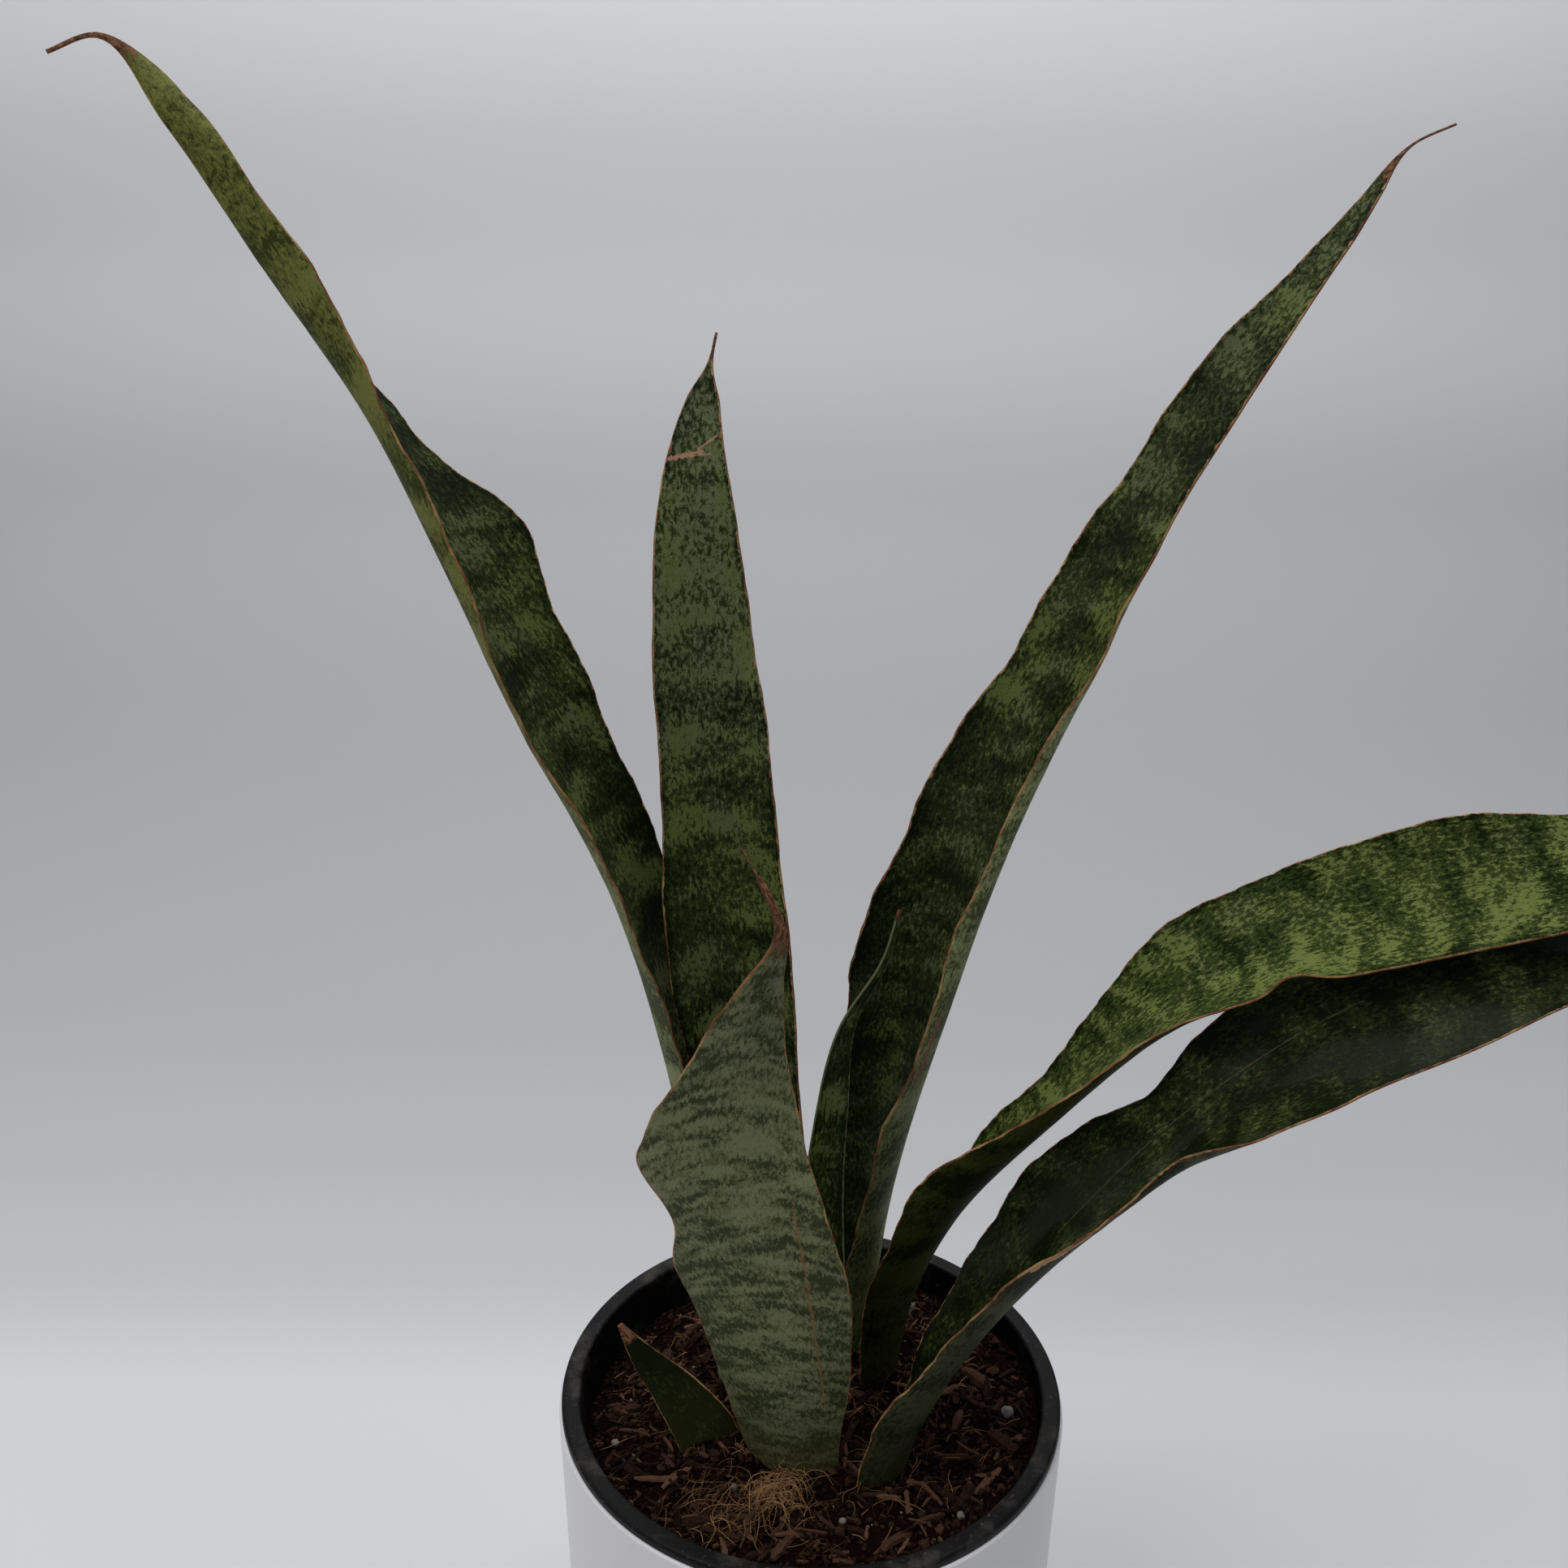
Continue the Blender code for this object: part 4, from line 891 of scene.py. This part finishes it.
def make_fibres():
    rng = random.Random(23)
    heap = Heap()
    for k in range(TUFT_FIBRES + STREWN_FIBRES + LOOSE_FIBRES):
        tuft, strewn = k < TUFT_FIBRES, k < TUFT_FIBRES + STREWN_FIBRES
        if tuft:
            x, y = TUFT[0] + rng.gauss(0, 3.4), TUFT[1] + rng.gauss(0, 4.5)
            length, lift = rng.uniform(5, 13), rng.uniform(0.3, 7.0)
        elif strewn:
            x, y = TUFT[0] - 12 + rng.gauss(0, 10), TUFT[1] - 4 + rng.gauss(0, 7)
            length, lift = rng.uniform(5, 18), rng.uniform(0.3, 2.5)
        else:
            x, y = spot(rng, SOIL_RADIUS - 9)
            length, lift = rng.uniform(3, 12), rng.uniform(0.2, 1.8)
        a = rng.uniform(0, 2 * math.pi)
        points = []
        for s in (-1, -0.4, 0.3, 1):
            a += rng.uniform(-0.5, 0.5)
            px, py = x + s * length / 2 * math.cos(a), y + s * length / 2 * math.sin(a)
            reach = math.hypot(px, py)
            if reach > SOIL_RADIUS - 2:
                px, py = px * (SOIL_RADIUS - 2) / reach, py * (SOIL_RADIUS - 2) / reach
            points.append((px, py, crumbly(px, py) + 0.3 + lift * (1 - s * s) + rng.uniform(0, 0.4)))
        tone = rng.uniform(0.5, 1.0) if tuft else 0.8 * rng.random()**1.5
        heap.put(*fibre(points, rng.uniform(0.06, 0.14)), tone)
    mat = bark_material("coir", (0.018, 0.007, 0.004), (0.50, 0.28, 0.13))
    heap.build("coir_fibres", mat)


def make_perlite():
    rng = random.Random(3)
    n = Nodes("perlite")
    grain = n.noise(n.position(), scale=900, detail=4, roughness=0.7)
    mat = n.finish(n.mix(grain, (0.07, 0.058, 0.048), (0.22, 0.20, 0.17)), 0.9, n.bump(grain, 0.0005, 0.8))
    points, faces = ball(3)
    for name in sorted(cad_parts):
        if not name.startswith("perlite"):
            continue
        low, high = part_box(name)
        middle = (low + high) / 2 / MM
        radius = (high.x - low.x) / 2 / MM
        heap = Heap()
        dents = [0.9 + 0.22 * noise.fractal(Vector(p) * 1.6 + Vector(middle), 0.8, 2.0, 4) for p in points]
        heap.put(list(points * np.array(dents)[:, None] * radius + np.array(middle)), faces, 0.5)
        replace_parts(heap.build(name + "_grain", mat), name)
    heap = Heap()
    points, faces = ball(1)
    for _ in range(PERLITE_CRUMBS):
        x, y = spot(rng, SOIL_RADIUS - 3)
        size = rng.uniform(0.2, 0.5)
        shape = points * np.array([rng.uniform(0.8, 1.2) for _ in points])[:, None] * size
        heap.put(list(shape + (x, y, crumbly(x, y) + 0.5)), faces, 0.5)
    heap.build("perlite_crumbs", mat)


def dress_rhizome():
    n = Nodes("rhizome_skin")
    place = n.position()
    cloud = n.noise(place, scale=120, detail=4)
    colour = n.mix(cloud, (0.36, 0.19, 0.08), (0.52, 0.33, 0.17))
    mat = n.finish(colour, 0.6, n.bump(cloud, 0.0006, 0.7))
    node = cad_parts["rhizome"]
    node.data.materials.clear()
    node.data.materials.append(mat)


# ---- studio ---------------------------------------------------------------------
CAMERA_PLACE = (-9.8, -383.7, 335.0)    # mm, height above the lip
CAMERA_PITCH = 20.35                    # degrees below the horizon
CAMERA_ROLL = 0.54                      # degrees


def make_camera():
    data = bpy.data.cameras.new("camera")
    data.sensor_width = 36
    data.lens = 36
    data.clip_start = 0.01
    camera = bpy.data.objects.new("camera", data)
    x, y, z = CAMERA_PLACE
    turn = Matrix.Rotation(math.radians(90 - CAMERA_PITCH), 4, "X")
    roll = Matrix.Rotation(math.radians(CAMERA_ROLL), 4, "Z")
    camera.matrix_world = Matrix.Translation((x * MM, y * MM, (z + LIP_TOP) * MM)) @ turn @ roll
    bpy.context.scene.collection.objects.link(camera)
    bpy.context.scene.camera = camera


# Greyness of the sweep by its distance back along the floor and then up the wall, in metres: painted shade
# and light, darker towards the back of the floor and the foot of the wall, lighter again up the wall.
SWEEP_PAINTED_LIGHT = [(0.0, 0.56), (0.14, 0.55), (0.24, 0.44), (0.34, 0.40), (0.50, 0.37), (0.70, 0.37),
               (1.05, 0.38), (1.5, 0.42), (1.9, 0.58), (2.25, 0.78)]
SWEEP_END = 2.5                         # metres


def backdrop_material():
    n = Nodes("backdrop")
    parts = n.add("ShaderNodeSeparateXYZ")
    n.link(n.position(), parts.inputs[0])
    # Painted shade towards the back of the floor and the foot of the wall, and painted light higher up the
    # wall.
    back = n.math("DIVIDE", n.math("ADD", parts.outputs["Y"], parts.outputs["Z"]), SWEEP_END, clamp=True)
    ramp = n.add("ShaderNodeValToRGB")
    n.link(back, ramp.inputs[0])
    ramp.color_ramp.interpolation = "EASE"
    stops = ramp.color_ramp.elements
    while len(stops) < len(SWEEP_PAINTED_LIGHT):
        stops.new(0.5)
    for stop, (place, tone) in zip(stops, SWEEP_PAINTED_LIGHT):
        stop.position = place / SWEEP_END
    for stop, (place, tone) in zip(stops, SWEEP_PAINTED_LIGHT):
        stop.color = (tone, tone * 1.005, tone * 1.03, 1.0)
    return n.finish(ramp.outputs[0], 0.9, specular=0.0)


def make_backdrop():
    """Seamless pale sweep: a floor that curves up into a wall."""
    reach, wall, bend, half = 6.0, 1.5, 0.55, 6.0
    profile = [(-reach, 0.0), (wall - bend, 0.0)]
    profile += [(wall - bend + bend * math.sin(a), bend - bend * math.cos(a))
                for a in np.radians(np.linspace(6, 90, 15))]
    profile += [(wall, 4.0)]
    points = [(x * 1000, y * 1000, z * 1000) for y, z in profile for x in (-half, half)]
    faces = [(2 * i, 2 * i + 1, 2 * i + 3, 2 * i + 2) for i in range(len(profile) - 1)]
    add_mesh("backdrop", points, faces, backdrop_material())


def add_light(name, place, aim, size, power, colour=(1.0, 1.0, 1.0)):
    data = bpy.data.lights.new(name, "AREA")
    data.shape = "RECTANGLE"
    data.size, data.size_y = size
    data.energy = power
    data.color = colour
    light = bpy.data.objects.new(name, data)
    light.location = place
    light.rotation_euler = (Vector(aim) - Vector(place)).to_track_quat("-Z", "Y").to_euler()
    bpy.context.scene.collection.objects.link(light)


def make_light():
    world = bpy.data.worlds.new("studio")
    world.use_nodes = True
    sky = world.node_tree.nodes["Background"]
    sky.inputs["Color"].default_value = (0.92, 0.95, 1.0, 1.0)
    sky.inputs["Strength"].default_value = 0.35
    bpy.context.scene.world = world
    add_light("key", (-0.9, -0.6, 1.7), (0.0, 0.0, 0.2), (1.2, 0.9), 14)
    add_light("top", (0.2, 0.5, 2.0), (0.0, 0.3, 0.0), (1.8, 1.2), 26)
    bpy.context.scene.view_settings.view_transform = "Standard"


make_camera()
make_pots()
make_soil()
make_crumbs()
make_bark()
make_fibres()
make_perlite()
make_leaves()
dress_rhizome()
make_backdrop()
make_light()
